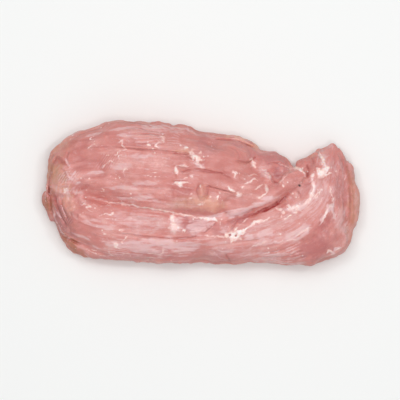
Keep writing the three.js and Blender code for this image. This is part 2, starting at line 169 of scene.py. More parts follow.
# Creases: (width, depth, lip, path). The lip stands proud on the left of the path, seen along it.
# A negative depth makes a ridge. Each crease with a positive depth also shows as a darker line:
# painted shade down in the crease.
CREASES = {
    "upper_slit": (0.6, 0.8, 0.5, "-60,29 -40,27.5 -18,25.6 -11,25 -7,24.2"),
    "upper_slit_below": (0.5, 0.8, 0.4, "-18,24 -12,23.6 -8,22.4 -4,19.5"),
    "middle_slit": (0.55, 0.65, 0.5, "-6,14.2 -1,14.4 5,13.6 13,12.2 20,10"),
    "middle_slit_end": (0.6, 0.8, 0.3, "-13,12.5 -10,13.6 -6,14.2"),
    "lower_slit": (0.5, 0.9, 0.6, "3,2.5 5,4 9,2.6 13,1.6 17,0.9 21,-0.6"),
    "loop": (0.42, 0.6, 0, LOOP),
    "loop_rise": (1.7, -1.2, 0, "-0.2,5.4 0,2 0.5,-1 1.1,-3"),
    "back_line": (0.7, 0.9, 0.5, "7,33.4 14,33.8 21.6,33.3 28,31 36,27"),
    "back_slit": (0.6, 0.9, 0.4, "20,20.6 26,19.3 30,19.3 33,21.5 35,23"),
    "back_lobe": (0.5, 0.6, 0, "17,29 22,26.5 24,23 23,19.5"),
    "pocket": (0.8, 0.9, 0.5, "48.3,5.7 45.7,7.3 44.5,10.5 42.5,12.7 38.7,14.3"),
    "pocket_flap": (0.5, 0.4, 0.4, "57.2,13.3 54,11.7 51.4,10.5 50.2,7.9 47.6,5.4"),
    "nose_edge": (0.6, 0.6, 0.6, "41,17.6 43.8,18.4 47.6,18.7 50.8,18.1 56.5,14.9"),
    "main_left": (0.5, 0.8, 0, "14,-18.5 20,-17.6 27,-15.8 33,-13.6"),
    "main": (0.6, 1.5, 0, "28,-15.4 34,-13.4 39,-11.5 45,-8.6 51,-5 56,-1"),
    "main_tip": (0.6, 0.2, 0, "52,-3.6 56,-1 60,2.4 64,5.7 67.5,9.5"),
    "main_branch": (0.6, 0.7, 0, "24,-17 21,-20 18.5,-25"),
    "lower_line": (0.6, 0.9, 0.3, "-60,-25 -35,-28 -18,-29 -8,-28.5 -1,-26.5"),
    "facet": (0.5, 0.6, 0.5, "1,-26 4,-24 7,-21 10,-18.5"),
    "left_under": (0.7, 1.2, 0.6, "-94,-18 -91,-24 -88.5,-27.6 -83,-30.2 -75,-34"),
    "left_fold": (0.6, 1.0, 0, "-97.6,6 -97,-1.5 -96.4,-9 -94.8,-16"),
    "left_rim": (1.6, -0.6, 0, "-97,2.4 -90,0 -82,-0.6 -74,-2"),
    "right_band": (1.1, 0.5, 0.3, "91,-21 92,-4 91,11 89.5,22 87.5,26"),
    "right_inner": (0.7, 0.5, 0.2, "94.5,6 95.5,-6 94.5,-19"),
    "notch": (0.8, 1.2, 0, "67,18.5 68.5,14 67,9"),
    "tail_split": (1.2, 0.6, 0, "82,3 84,-7 85,-19"),
    "stripe_high": (0.5, 0.5, 0, "30,-31.5 36,-30 41.5,-28 46.5,-24.5"),
    "stripe_middle": (0.5, 0.5, 0, "38,-35 47,-33 52,-31 60,-27"),
    "stripe_low": (0.5, 0.5, 0, "36,-38.5 50,-36.5 58,-33.5 66,-29"),
    "rim_stripe": (0.5, 0.6, 0, "38,-41.5 50,-40.5 58,-39 66,-36"),
    "rim_stripe_middle": (0.5, 0.5, 0, "34,-43 46,-42 56,-41 66,-38.5"),
    "rim_stripe_low": (0.5, 0.6, 0, "43,-44.3 52,-43.4 62,-42.2 70,-39.5"),
    "tip_rim": (0.7, -0.5, 0, "48,7 52,10 58,12.5 63,13.8 66.5,12 66,8.5"),
    "tail_ridge": (5, -1.6, 0, "30,-35 52,-30 70,-22 80,-10 84,2 82,12"),
    "curl_high": (0.7, -0.6, 0, "-19,17 -14,17.5 -9,16.4"),
    "curl_low": (0.7, -0.6, 0, "-19,6.5 -14,6 -8,7"),
    "curl_side": (0.7, -0.5, 0, "-17.5,15 -16,12.5 -14.8,8.5"),
    "fan_left": (0.5, -0.5, 0, "52.4,-1.5 54,-4.5 54.5,-7"),
    "fan_middle": (0.5, -0.5, 0, "56,0.5 58,-3 58.5,-6"),
    "fan_right": (0.5, -0.5, 0, "60,3 62.5,-1.5 62.5,-5"),
    "end_fold": (0.5, 0.8, 0.6, "74.3,28 75.2,23 76.6,19.5 79,16.5"),
    "end_lump": (1.2, -0.7, 0, "64.5,19 67,20.4 69.5,21.5"),
    "end_lump_high": (1.2, -0.7, 0, "71.5,20 72.5,23 72,25"),
    "main_fill": (1.7, -1.0, 0, "33,-13.6 39,-11.5 44,-9.2 50,-5.6"),
    "left_valley": (0.8, 0.9, 0.6, LEFT_VALLEY),
    "left_side": (0.8, 1.2, 0.5, "-95,18.5 -96.4,12 -97,5 -96.6,-1"),
    "left_groove": (0.8, 0.9, 0.5, "-93,-2 -91.4,-9 -88.6,-16 -85,-22"),
    "left_groove_in": (0.7, 0.9, 0.5, "-89.4,-4 -87.4,-11 -84,-17"),
    "left_mound": (2.2, -1.1, 0, "-93,4.6 -88,4.4 -83,5"),
    "loop_side": (0.45, 0.5, 0, "3,-3.8 4,-1.4 4.2,1 3.6,3"),
    "left_nick": (0.6, 0.7, 0.5, "-84.2,27 -85.4,22.6 -85,19 -83.6,16.6"),
    "left_small": (0.6, 0.6, 0.5, "-90,16 -87.4,13.6 -86.4,10.4"),
    "low_fold": (0.5, 0.7, 0, LOW_FOLD),
}

# Long low swells and hollows: (x, y, radius along X, radius along Y, rise)
SWELLS = [
    (4, 22, 13, 6, 1.6),
    (10, 6, 12, 4.5, 1.2),
    (-8, -2, 14, 6, 1),
    (45, 21, 9, 5, 1.2),
    (48.2, 11.5, 3.8, 5, -1.6),
    (72, 10, 4, 9, 1.2),
    (60, -24, 16, 6, 1.4),
    (-86, 9, 7, 6, 1.5),
    (-80, 26, 6, 6, -1.4),
    (-78, -16, 9, 9, 1.2),
]

# The gentle unevenness of soft meat: (length, direction in degrees, phase, rise)
WAVES = [
    (41, 20, 0.4, 0.5),
    (27, 105, 2.1, 0.4),
    (19, 62, 4.0, 0.35),
    (14, 150, 1.2, 0.25),
]

# The middle of the muscle, from the head's loose end round the fold to the tail's loose end
SPINE = (
    "67,11 38,9 0,17 -51,20 -80,17 -91,8 -93,-5 -86,-19 -70,-27 -45,-29 0,-30 44,-22.5 69,-8 "
    "79,11 84,29.5"
)

# Marks on the surface: (half-width, strength, path). These are fat, and painted highlights: the
# bright glints, arcs and glows of wet sheen.
FAT_AND_GLINTS = {
    "fork": (0.45, 0.75, "76.2,-18.8 77.6,-15.4 79.6,-12.4 81.8,-10"),
    "upper_blob": (2.2, 1.0, "-5.4,25 -3,21.8 -3,18.8"),
    "upper_blob_core": (1.2, 1.5, "-4.2,24.6 -2.2,21.6 -2.6,18.8"),
    "upper_blob_side": (1.3, 0.8, "-7,26.2 -4.6,25 -3.8,22.6"),
    "upper_wisp": (0.45, 0.5, "-5.1,18.1 -2,17.6 0.6,16.4"),
    "upper_wisp_low": (0.4, 0.4, "-1.3,15.6 1.5,15.4"),
    "upper_left": (0.6, 0.95, "-11.5,28.4 -8,28"),
    "label_curl": (0.45, 0.6, "-17.1,15.6 -14.6,16.8 -10.8,17.5 -7,16.8"),
    "label_stroke": (0.75, 0.95, "-16.6,15.8 -15.9,13.6 -14.8,10.8"),
    "label_row": (0.6, 0.9, "-19,5.4 -16.5,6 -14,5.4 -11.4,5.7 -9.5,6 -7,6"),
    "label_row_core": (0.9, 0.9, "-13.7,5.6 -11.6,5.6"),
    "label_dash": (0.35, 0.6, "-11.4,9.2 -8.9,8.6"),
    "label_dash_high": (0.35, 0.6, "-7.6,11.1 -5.1,10.5"),
    "head_tick": (0.4, 0.9, "-1,5.2 -0.8,2.6"),
    "head_dash": (0.7, 1.7, "16.5,4.1 18.4,2.3 21,0.8"),
    "head_patch_dots": (0.4, 0.7, "24.3,12.5 24.8,11"),
    "head_blob": (1.6, 0.9, "23.8,0.8 23.6,-0.8 23.2,-2.6"),
    "head_dot": (0.5, 0.8, "25,3.6 25.8,3.6"),
    "head_small": (1.0, 1.05, "9.8,-2.6 10.6,-3"),
    "head_small_side": (0.45, 0.6, "10.4,0.2 12.4,-0.6"),
    "head_peach": (1.2, 0.7, "-2.4,-7.8 0,-7.6 1.6,-7"),
    "head_short": (0.4, 0.7, "-7,-0.7 -5,-0.5"),
    "head_short_low": (0.35, 0.6, "-8,-3.8 -5.7,-3.8"),
    "nose_light": (0.4, 0.5, "48.3,18.7 50.8,18.7 53.3,16.8 56.5,15.6"),
    "arc_long": (0.5, 0.75, "27.3,5.4 30.5,7.3 33.7,8.3 36.2,7.3"),
    "arc_short": (0.4, 0.7, "24.8,2.9 27.3,4.1"),
    "arc_right": (0.5, 0.7, "34.3,1.6 36.8,4.1 39.4,5.4"),
    "arc_wide": (0.9, 0.6, "40,5.4 41.3,2.2 40.6,-0.3"),
    "arc_low": (0.5, 0.75, "34.9,-3.2 38.1,-2.2 41.3,-0.3"),
    "arc_left": (0.4, 0.5, "31.1,-0.3 33,-1.6"),
    "arc_high": (0.4, 0.5, "28.6,10.5 32.4,11.7 36.2,11.1"),
    "fringe": (0.6, 0.55, "38.7,14.3 42.2,12.9 44.3,10.5 45,7.6"),
    "pocket_rim": (0.35, 0.5, "49.4,5.2 51.2,7.4 52.6,9.6 54.6,10.8"),
    "tip_dot": (0.5, 0.8, "51.9,5.2 52.2,3.6"),
    "tip_top": (0.8, 1.0, "57,15.2 60.4,15.1 63,14.2 65,12.9"),
    "end_big": (1.9, 1.1, "74.4,9.6 75.6,12.4 76.8,14.4"),
    "end_big_mid": (1.4, 1.1, "76,11 78,13 78.6,15.6"),
    "end_big_right": (1.0, 0.95, "76.5,14.2 78.8,15.6 80,14.6"),
    "end_big_tail": (0.45, 0.9, "75,9.2 78,11 81.3,12.4 83.2,13.2"),
    "end_big_left": (0.8, 0.7, "70.2,12.4 70.9,9.8"),
    "end_big_spur": (0.5, 0.7, "79.6,16.8 81.3,15.3"),
    "end_streak": (0.7, 0.95, "75.2,25.6 76.6,22 77.8,19.4 79,16.2"),
    "seam": (1.0, 0.6, "70.4,9.4 71.4,4 70.8,-0.6 68.6,-4.4 66,-6.8 61.6,-8.8"),
    "seam_bright": (0.45, 0.9, "71.4,5 71.4,1.6 69.8,-2.6"),
    "seam_low": (1.3, 0.55, "63.5,-8.4 61,-10 58,-9.8 55.8,-11.4"),
    "seam_ring": (0.5, 0.9, "54.2,-8.2 55.8,-7.6 56.7,-9 55.4,-10.2 54.2,-9.2"),
    "seam_blob": (0.9, 0.85, "60.6,-8.2 62.4,-9.4"),
    "seam_blob_low": (0.7, 0.8, "58.5,-12.7 60.6,-13"),
    "seam_spot": (0.8, 0.8, "51,-11.6 52.4,-13.2"),
    "seam_left": (0.6, 0.6, "46,-9.5 49.5,-10 52,-10.5"),
    "seam_tail": (0.5, 0.8, "57.2,-14 54.6,-15.9 52.4,-17.8"),
    "seam_spur": (0.5, 0.8, "50.8,-13.7 50.6,-16.4"),
    "end_line": (0.35, 0.6, "76.8,4.1 74.9,-0.3 72.4,-4.8"),
    "end_line_left": (0.3, 0.5, "74.3,1.6 71.8,-4.8"),
    "end_line_low": (0.35, 0.5, "76.8,-2.2 74.9,-6"),
    "end_line_right": (0.4, 0.65, "81.3,4.8 82.6,0.3 83.8,-4.8 84.1,-7.9"),
    "membrane_edge": (0.5, 0.75, "-70,-4 -45,-8 -18.5,-12 -9.5,-14.6 -0.6,-16.5"),
    "membrane_bright": (0.55, 1.3, "-1,-16.5 4,-16.9 8,-16.7 10.6,-18.4"),
    "facet_tick": (0.4, 0.6, "13.3,-18.7 12,-20.6"),
    "film": (2.2, 0.5, "-17.8,-13.5 -17.2,-18.7 -17.4,-25"),
    "film_core": (1.1, 0.9, "-17.6,-14 -17.4,-19"),
    "film_blob": (0.9, 0.8, "-15.4,-21.4 -14.2,-22.6"),
    "film_ring": (0.45, 0.8, "-12.7,-24.4 -11.4,-23.2 -10.8,-24.4 -12,-25.4"),
    "spot_far_left": (0.35, 0.6, "2,-27 6,-28.2 10.5,-28.1"),
    "spot_up": (0.45, 0.6, "20.3,-24.4 22.5,-22"),
    "long_line": (0.55, 0.95, "26.4,-24.8 28.6,-22.5 31.8,-20.6 36.5,-18.4 43.2,-15.2"),
    "long_line_up": (0.35, 0.6, "25,-19.2 27.3,-17.4 30,-16.4"),
    "tail_streak": (0.45, 0.5, "30.5,-35.2 33.7,-33 38.7,-32 43.8,-30.8"),
    "tail_streak_middle": (0.4, 0.45, "45,-32 52.7,-30.2 60.3,-29.5"),
    "tail_streak_right": (0.5, 0.5, "58.4,-28.3 64.8,-24.4 69.8,-21.9"),
    "spot": (2.1, 1.25, "16.8,-27.4 21.4,-28.2 24,-26.6"),
    "spot_top": (1.3, 1.5, "22.9,-24.6 25.2,-25 25.8,-27"),
    "spot_low": (0.9, 1.1, "18.6,-29 21.4,-29.5 24.2,-28.6"),
    "spot_glow": (3.4, 0.4, "18,-27.6 23.4,-27"),
    "nose_tick": (0.5, 0.8, "32.4,20.8 34.6,18.8"),
    "nose_tick_low": (0.5, 0.8, "33,18.8 34.8,16"),
    "nose_tick_left": (0.4, 0.6, "30.4,20.4 33,21.6"),
    "nose_glow": (1.6, 0.4, "32,20 34,17.4"),
    "head_patch": (0.6, 0.9, "19.8,13.4 21.2,11.6 21.8,10.2"),
    "head_patch_side": (0.45, 0.7, "21.6,13.4 22.8,11.2"),
    "head_patch_glow": (1.8, 0.4, "20.6,12.8 22,10.6"),
    "left_glow": (1.4, 0.9, "-87,3 -84.4,1.4"),
    "spot_left": (0.8, 1.1, "17,-26.4 16.4,-28.2"),
    "spot_band": (0.55, 0.5, "9,-27.4 12.5,-28 15.4,-28"),
    "fork_tip": (0.7, 0.6, "81.4,-9 84,-8.6"),
    "upper_blob_body": (2.1, 1.0, "-5.6,24.2 -3.8,21.8 -2.4,19.4"),
    "squiggle": (0.4, 0.75, "80,-37.7 81.9,-36.2 84,-37.6"),
    "squiggle_right": (0.4, 0.8, "84,-37 86.6,-35.7 89,-35"),
}

# Thin silverskin, which shows as a pale translucent film, and painted sheen: broad pale washes and
# streaks over the upper faces of the tail and head, and a few glints
SKIN_AND_SHEEN = {
    "fork": (0.6, 1.6, "75.6,-20.8 76.8,-16.8 79.2,-13 81.5,-10.4 83.5,-8.4"),
    "fork_left": (0.5, 1.3, "80,-7.2 81.5,-9.6"),
    "fork_top": (0.9, 1.5, "81,-9.6 82.6,-8.2 84.6,-8.8"),
    "fork_right": (0.6, 1.4, "82.8,-8.8 83.8,-11.7 84.6,-15 85,-17.6"),
    "squiggle": (0.45, 1.5, "80,-37.5 82.3,-37 84.2,-38.2 81.9,-38.9"),
    "squiggle_right": (0.4, 1.5, "83.8,-36.8 84.8,-35.4 87.3,-35 90.2,-34.4"),
    "blob_below": (1.0, 0.9, "-5.4,18.4 -1.4,17 1.9,15.4"),
    "end_sheet_top": (2.4, 0.6, "76.6,26 78.6,20 80.4,14.5"),
    "membrane": (3.8, 0.8, "-9.5,-23.8 -2,-21.3 3,-19.4"),
    "membrane_left": (4.5, 0.45, "-60,-14 -40,-18 -20,-20"),
    "membrane_tip": (1.6, 0.7, "2.5,-21.3 5.7,-19.4 8.3,-18.4"),
    "film": (3.0, 0.9, "-17,-14 -16,-20 -17,-25"),
    "lip": (1.6, 0.9, "9,-14.6 20,-13.4 28,-11.4 36,-7.8 44,-4.4 52,-0.8"),
    "lip_low": (0.7, 0.6, "24,-13.8 32,-10.8 40,-7 47,-3.6"),
    "tail_patch": (2.2, 0.6, "27.5,-28.5 32,-27"),
    "tail_patch_middle": (2.2, 0.75, "33.5,-28.4 40,-26.2 47,-23.6"),
    "tail_patch_right": (2.5, 0.8, "52,-31.6 58,-28 63.5,-24.4 69.2,-20.4"),
    "tail_patch_low": (1.0, 0.8, "36,-33.4 43.8,-32 53.3,-30.8"),
    "tail_patch_left": (1.1, 0.6, "30.5,-34.6 38.7,-31 47,-30.2"),
    "tail_plane": (5, 0.25, "55,-25.7 63,-22.5 70.5,-17.5 76.8,-9.8 79,-1.6"),
    "tail_left": (3.2, 0.9, "-60,-33 -35,-33.5 -16.5,-33 -6,-33 3,-33.5"),
    "tail_left_end": (2, 0.5, "-4,-31.5 0,-33.5"),
    "tail_line": (0.5, 0.45, "-1.9,-36.5 7,-38.4 12,-41 15.9,-42.9"),
    "rim": (1.2, 0.55, "30,-43.2 37,-42.6 44,-43.4 50,-44.6"),
    "rim_high": (0.8, 0.5, "43.8,-40.3 52,-39.1 61,-37.8"),
    "rim_low": (0.7, 0.4, "47,-44.2 56,-42.2 62,-41"),
    "back_fibre": (0.7, 0.6, "-40,43.5 -18.4,41.6 -7,39 -0.6,36.5"),
    "back_fibre_low": (0.6, 0.5, "-30,41 -18.4,39 -8.3,37.2"),
    "end_sheet": (3.2, 0.3, "82.5,24 85.5,14 87,2 87.5,-4"),
    "end_sheet_edge": (0.6, 0.4, "88.9,20.6 90.2,14.3 91.4,4.8"),
    "end_low": (3.2, 0.5, "87,-8 88.6,-16 88.4,-25"),
    "end_low_line": (0.5, 0.4, "89.6,-1.6 90.4,-14"),
    "end_top": (2, 0.4, "75,20.5 77.5,17.5"),
    "end_nub": (1.6, 0.6, "81.5,29 84,30"),
    "fan_left": (0.35, 0.5, "52.7,-2.8 55,-5.5"),
    "fan_middle": (0.35, 0.5, "56,-1.5 58.5,-5"),
    "fan_right": (0.35, 0.5, "59.5,0.5 62,-4"),
    "left_band": (1.6, 0.6, "-96,4 -91,2.2 -86,1 -82,1.4 -74,0"),
    "left_spot": (1.0, 0.8, "-86.4,1.6 -84.2,2.8"),
    "left_line": (0.5, 0.8, "-95.5,-8 -93,-16 -89.5,-24 -86.5,-28 -82,-29"),
    "left_line_inner": (0.45, 0.8, "-93.4,-11 -91,-13.8 -88,-15.8"),
    "left_line_high": (0.4, 0.8, "-90,-8 -87,-13 -84.5,-16"),
    "left_top_line": (0.4, 0.6, "-97,11.4 -93,15.2 -90.5,17.4"),
    "wrinkle_d": (0.45, 0.7, "-85,6.7 -82,10 -79,14"),
    "wrinkle_e": (0.45, 0.5, "-83,12 -80,9 -78,7.5"),
    "tail_pale": (4, 0.4, "14,-26 28,-25 40,-22.5 52,-18.5 62,-14 69,-8 73,0"),
    "tail_pale_end": (3.2, 0.4, "72,-4 75,3 78,9"),
    "block": (1.8, 1.0, "28,-27 30.5,-28.4 31.6,-30.6"),
    "end_band": (3.4, 0.3, "83,20 86,12 87.6,2 87,-6"),
    "pocket": (2.6, 0.25, "47,16.6 49.5,14 49,10.5"),
    "left_cross": (0.45, 1.1, "-86,13 -83,9.4 -81,7"),
    "left_cross_back": (0.45, 1.1, "-84.5,6.8 -81.5,11 -79,14"),
    "left_red_line": (0.45, 0.9, "-86,21.5 -84.6,18.6 -83,16.2"),
    "left_glow": (1.6, 0.9, "-87,2.6 -84.6,1.4 -82.6,0.6"),
    "fringe": (1.5, 0.6, "36,15.6 40,13.4 43,10.6 44.2,7.4"),
    "tail_top": (2.6, 0.5, "66,-8.6 69,-10.4 72,-9"),
    "seam": (2.0, 0.9, "70.6,9 71.6,3 71,-1 68.6,-5 65,-7.6 58,-10 51,-11"),
    "tip_edge": (0.6, 0.8, "64.4,13.4 65.8,11.6 65.8,9.2"),
    "facet": (2.6, 0.5, FACET),
    "low_mid": (4, 0.3, "20,-38 32,-38.6 44,-38"),
    "left_pink": (3.2, 0.65, "-91,1.4 -87,-1 -83,-3"),
    "low_glint": (0.5, 0.7, "8,-36 14,-37.4 20,-37.6"),
    "low_glint_right": (0.5, 0.6, "24,-40 32,-39.4 40,-37.8"),
    "tail_wash": (7, 0.22, "-12,-32 20,-34 48,-30 66,-22"),
    "end_wash": (5, 0.5, "69,-12 74.6,-5 78,2 79,8"),
    "outer_pale": (1.5, 0.4, "98,8 99.4,-2 99.2,-14 96,-25"),
    "outer_low": (2.2, 0.5, "90.6,-20 92.6,-26 91.6,-31"),
    "back_rim": (1.2, 0.45, "16,36.4 23,34.6 30,31.6"),
    "lip_left": (1.4, 0.85, "2,-15.4 10,-14.8 18,-13.2 25,-11.4"),
    "low_wash": (3, 0.45, "3,-33 12,-34.6 24,-35"),
    "head_wash": (3, 0.35, "-19,-5 -8,-6 3,-6.6"),
}

# Deeper red where the meat is thin or cut, and painted shade in deep red: along the creases and
# folds, in hollows, under lips and down the lower flanks
DEEP_RED_AND_SHADE = {
    "main": (0.7, 0.5, "17,-18 24,-16.5 35,-13 44,-9.4 50,-5.6 55,-2"),
    "main_core": (0.38, 1.15, "30,-15 36,-12.8 42,-10.2 47,-7.4 52,-4 56,-0.5"),
    "main_tip": (0.5, 0.5, "54,-2 58,1 62,4.2"),
    "main_side": (1.6, 0.3, "40,-9.6 46,-6 52,-2.4"),
    "end_left": (3.5, 0.22, "66,19 70,20.5 73,24"),
    "main_branch": (0.9, 0.5, "23.5,-17 21,-20.6 18.5,-25"),
    "pocket": (0.7, 0.8, "45.7,8 47,6.3 48.5,6"),
    "pocket_hollow": (3.0, 0.35, "47.5,14 48.5,10"),
    "nose": (3.5, 0.12, "38,22 46,21 53,19"),
    "notch": (2.0, 0.25, "68.5,20 71.5,17 69.5,12"),
    "fork_below": (2.6, 0.4, "76.5,-24 79.5,-19 82.5,-14"),
    "tail_low": (4.5, 0.35, TAIL_LOW),
    "right_streak": (1.0, 0.5, "91.7,7 92.6,-1 92.8,-8"),
    "right_streak_outer": (0.8, 0.5, "94.6,1.5 95.2,-6"),
    "right_streak_low": (0.9, 0.45, "92.5,-14 93,-22"),
    "upper_slit": (0.6, 0.9, "-18.4,24.9 -13,24.7 -7.6,24.8"),
    "upper_slit_below": (0.4, 0.5, "-18.4,22.5 -12,21.8 -7,20.8 -3,18.6"),
    "middle_slit": (0.6, 0.7, "-8,13 -0.6,13.7 5,13.3 13,12 20,9.2"),
    "label_side": (2.2, 0.35, "-11,13 -7,12.5"),
    "head_hollow": (4, 0.2, "-16,-1 -10,-1 -4,0"),
    "back_patch": (4, 0.2, "-2,35 3,32 14,27"),
    "left_fold": (0.9, 0.5, "-97.5,5 -96.8,-2 -95.5,-10 -94.5,-15"),
    "end_line": (0.6, 0.7, "67,18 67.6,14.5 67,11"),
    "left_stripe": (1.1, 0.45, "-94,-1 -93,-5 -91.5,-9"),
    "tip_flap": (3, 0.3, "46,-2 54,3.6 62,9.6"),
    "head_left": (5, 0.6, "-18,2 -12,0 -6,2"),
    "under_lip": (1.6, 0.22, "17,-19.6 23,-18 30,-15.6"),
    "back_line": (0.5, 0.25, "8,33.2 15,33.5 22,32.9 28.2,30.7 36,26.6"),
    "left_valley": (0.9, 0.35, LEFT_VALLEY),
    "left_side": (0.7, 0.4, "-95.4,16 -96.6,9 -97,3"),
    "left_top": (4, 0.2, "-92,24 -87,29 -80,34"),
    "loop": (0.5, 0.15, LOOP),
    "right_zone": (2.4, 0.32, RIGHT_ZONE),
    "end_low": (4, 0.35, "71,-28.5 76.5,-27.4 81,-24"),
    "head_mid": (4.5, 0.22, "2,9 8,7.6 15,5"),
    "head_right": (3.2, 0.24, "21,-5.4 28,-6 34,-5"),
    "low_fold": (0.6, 0.45, LOW_FOLD),
    "main_deep": (0.55, 1.5, "37,-12.6 41,-11 44.4,-9.4 47.6,-7.2 51,-4.6"),
}

# Yellowish meat, and browner meat: where the rim has dried a little, and as painted shade at the
# left end, in valleys and slits and along the lower left edge
WARM = {
    "head": (3.2, 0.58, "-19,-6.6 -7,-6.6 5,-7.6 16,-9.6"),
    "outer_strip": (2.4, 0.4, "95,14 97.6,3 98,-8 97.5,-18.7 94,-29"),
    "back_rim": (1.4, 0.9, "12,37.4 18,37 26,34.6 32,31 38,26.8"),
    "left_end": (4.6, 0.85, "-95,17 -93.5,12 -95.5,6"),
    "left_top": (3.5, 0.45, "-94,25 -90,30 -84,35"),
    "left_pale": (4, 0.5, "-88,-2 -83,-6"),
    "slit": (1.2, 0.5, "-18.4,26.8 -11,26.6 -7,26"),
    "end_top": (2, 0.4, "68,22 74,26"),
    "left_orange": (3, 0.6, "-87,-2.5 -85,-8 -83,-14"),
    # partly painted light, where the rounded rim of the upper lobe catches it
    "left_band": (2.2, 0.6, "-96,3.5 -90,3.6 -83,3.8"),
    "loop_body": (1.5, 0.3, "-0.4,5.4 0.2,1.6 0.8,-2"),
}
# Browner meat, partly painted shade
BROWN_AND_SHADE = {
    "left_end": (3.8, 0.6, "-96,18 -94,13 -95.5,6"),
    "left_corner": (4, 0.25, "-90,-14 -86,-22 -81,-27"),
    "left_rim": (2.2, 0.35, "-88.3,32.7 -94.6,26.4 -97.8,19.4 -99.7,11 -99.7,4"),
    "left_line": (0.8, 0.8, "-97.2,4.8 -96.5,-4.8 -94.6,-16.2"),
    "flap": (2.8, 1.3, "-99.8,-2 -99.8,-9 -96.5,-16"),
    "left_patch": (1.4, 0.45, "-92,23.8 -89.5,20.6"),
    "left_patch_low": (1.2, 0.35, "-87,18.7 -84.5,16.2"),
    "left_low": (2.4, 1.1, "-92.6,-21 -89,-28.6 -84,-33.5 -76,-38"),
    "outer_strip": (1.8, 0.65, "92,17.5 94.5,8 95.5,-3 95,-16 93,-26"),
    "outer_edge": (1.0, 0.35, "97,15 98.6,8 98.4,4"),
    "left_edge": (1.6, 0.5, "-96,5 -95.4,-3 -94,-10"),
    "left_stripe": (0.8, 0.6, "-94,-3 -92,-9 -89,-14 -86,-19 -83,-24"),
    "left_stripe_in": (0.7, 0.45, "-90,-4.5 -88,-9.5 -85,-13.5 -82,-20"),
    "left_upper_dark": (1.2, 0.5, "-93,22 -90,20.6 -87.4,18"),
    "back_slit": (0.45, 0.45, "21,20.6 26,19 30,19.2 33,21.5"),
    "left_top": (4, 0.25, "-94,24 -88,28 -80,33"),
    "left_mid": (3.4, 0.22, "-90,8 -86,11 -82,12"),
    "left_bottom": (4, 0.4, "-90,-10 -86,-18 -80,-24"),
    "left_valley": (0.9, 0.5, LEFT_VALLEY),
    "left_purple": (3, 0.4, "-90,-12 -87,-18 -84,-24"),
}

# Purplish meat under the thin skin, and painted shade in purple: darker at the left end, down the
# lower rim and flanks, under the lip, in the pocket and on faces turned from the light
PURPLE_AND_SHADE = {
    "left": (5, 1.2, "-92,-6 -88,-16 -82,-24"),
    "end_band": (3.4, 0.4, "82,24 85.2,15 86.8,4 86,-6"),
    "lower_rim": (3.5, 0.4, "-70,-40 -18,-40.5 31,-40.5"),
    "back": (4, 0.4, "30,28 37,24 44,21"),
    "film": (4, 0.3, "-16,-24 -6,-24 0,-22"),
    "back_line": (1.6, 0.6, "21,30.8 26,29.4 31,27"),
    "left_low": (3, 0.9, "-90,-12 -86,-20 -80,-28"),
    "pocket": (3.2, 0.9, "46.6,16 49,13.5 48,10"),
    "nose": (3.4, 0.5, "38,22 46,21 54,19"),
    "beside_tip": (3, 0.35, "60,-1.5 66,2.4 69.4,7"),
    "under_lip": (1.6, 0.5, "17,-19.4 24,-17.6 32,-15"),
    "left_stripe": (1.4, 0.8, "-94.6,-1 -93.6,-5 -91.6,-10"),
    "facet": (3, 0.5, FACET),
    "membrane": (4, 0.8, "-16,-18 -6,-21 3,-21"),
    "tail_low": (4.5, 0.5, TAIL_LOW),
    "low_patch": (3, 0.35, "12,-37 20,-39 28,-38"),
    "fork_below": (3.4, 0.4, "75,-27 79,-21 83,-15"),
    "facet_low": (2.6, 0.4, "6,-22.6 12,-23.4 18,-22.4"),
    "right_zone": (2.4, 0.3, RIGHT_ZONE),
    "left_pink": (3, 0.4, "-90,10 -86,9 -82,10"),
    "head_mottle": (4, 0.3, "-3,31 3,28 9,25"),
}

# Small red holes in the fat beside the long line
HOLES = {
    "left": (0.8, 1.3, "17.6,-26.6 18.7,-27.1"),
    "right": (0.75, 1.3, "21.3,-26.9 22.5,-27.4"),
}

# Fans of fine pale fibres: (how many, half-width, strength, first path, last path). The fibres
# are spread from the first path to the last, which have the same number of points.
FANS = {
    "rim": (7, 0.27, 0.8, "32,-40 44,-38.4 55,-35.6 66,-31", "33,-44.2 47,-45 58,-45.4 70,-44"),
    "tail": (7, 0.3, 0.35, "30,-24 42,-20 54,-14 64,-5", "30,-33 45,-31 60,-26 73,-14"),
    "tail_end": (6, 0.26, 0.3, "64,-5 70,2 74,8 76,13", "74,-16 80,-4 83,8 83.5,20"),
    "back": (7, 0.28, 0.4, "-60,44 -40,43 -18,40 0,36", "-60,32 -40,31 -18,31 2,28"),
    "head": (8, 0.26, 0.35, "-60,26 -35,24 -10,19 16,13", "-60,-4 -35,-6 -10,-8 18,-9"),
    "left": (8, 0.3, 0.3, "-95,10 -90,14 -84,17 -76,18", "-96,2 -90,3 -84,4 -74,3"),
    "tail_left": (
        8, 0.28, 0.45,
        "-80,-22 -50,-29 -20,-31 6,-31",
        "-74,-34 -50,-39 -20,-40 10,-40",
    ),
}

# Fine slanting wrinkles in the thin skin: (half-width, strength, path)
WRINKLES = {
    "left": (2.4, 0.65, "-91,7 -88.5,9.5 -86,12"),
    "left_far": (2.2, 0.6, "-84,6.5 -81,10 -78.5,13"),
    "left_low": (1.8, 0.3, "-90,-12 -86,-16 -82,-20"),
    "covered": (3, 0.35, "-66,16 -58,20 -50,18"),
}
WRINKLE_WAY = (3600, -2500, 0)  # the direction across the wrinkles, in radians for each metre

SPECK = (62.5, 4.5)  # one dark speck beside the pointed flap
SPECK_RADIUS = 0.66

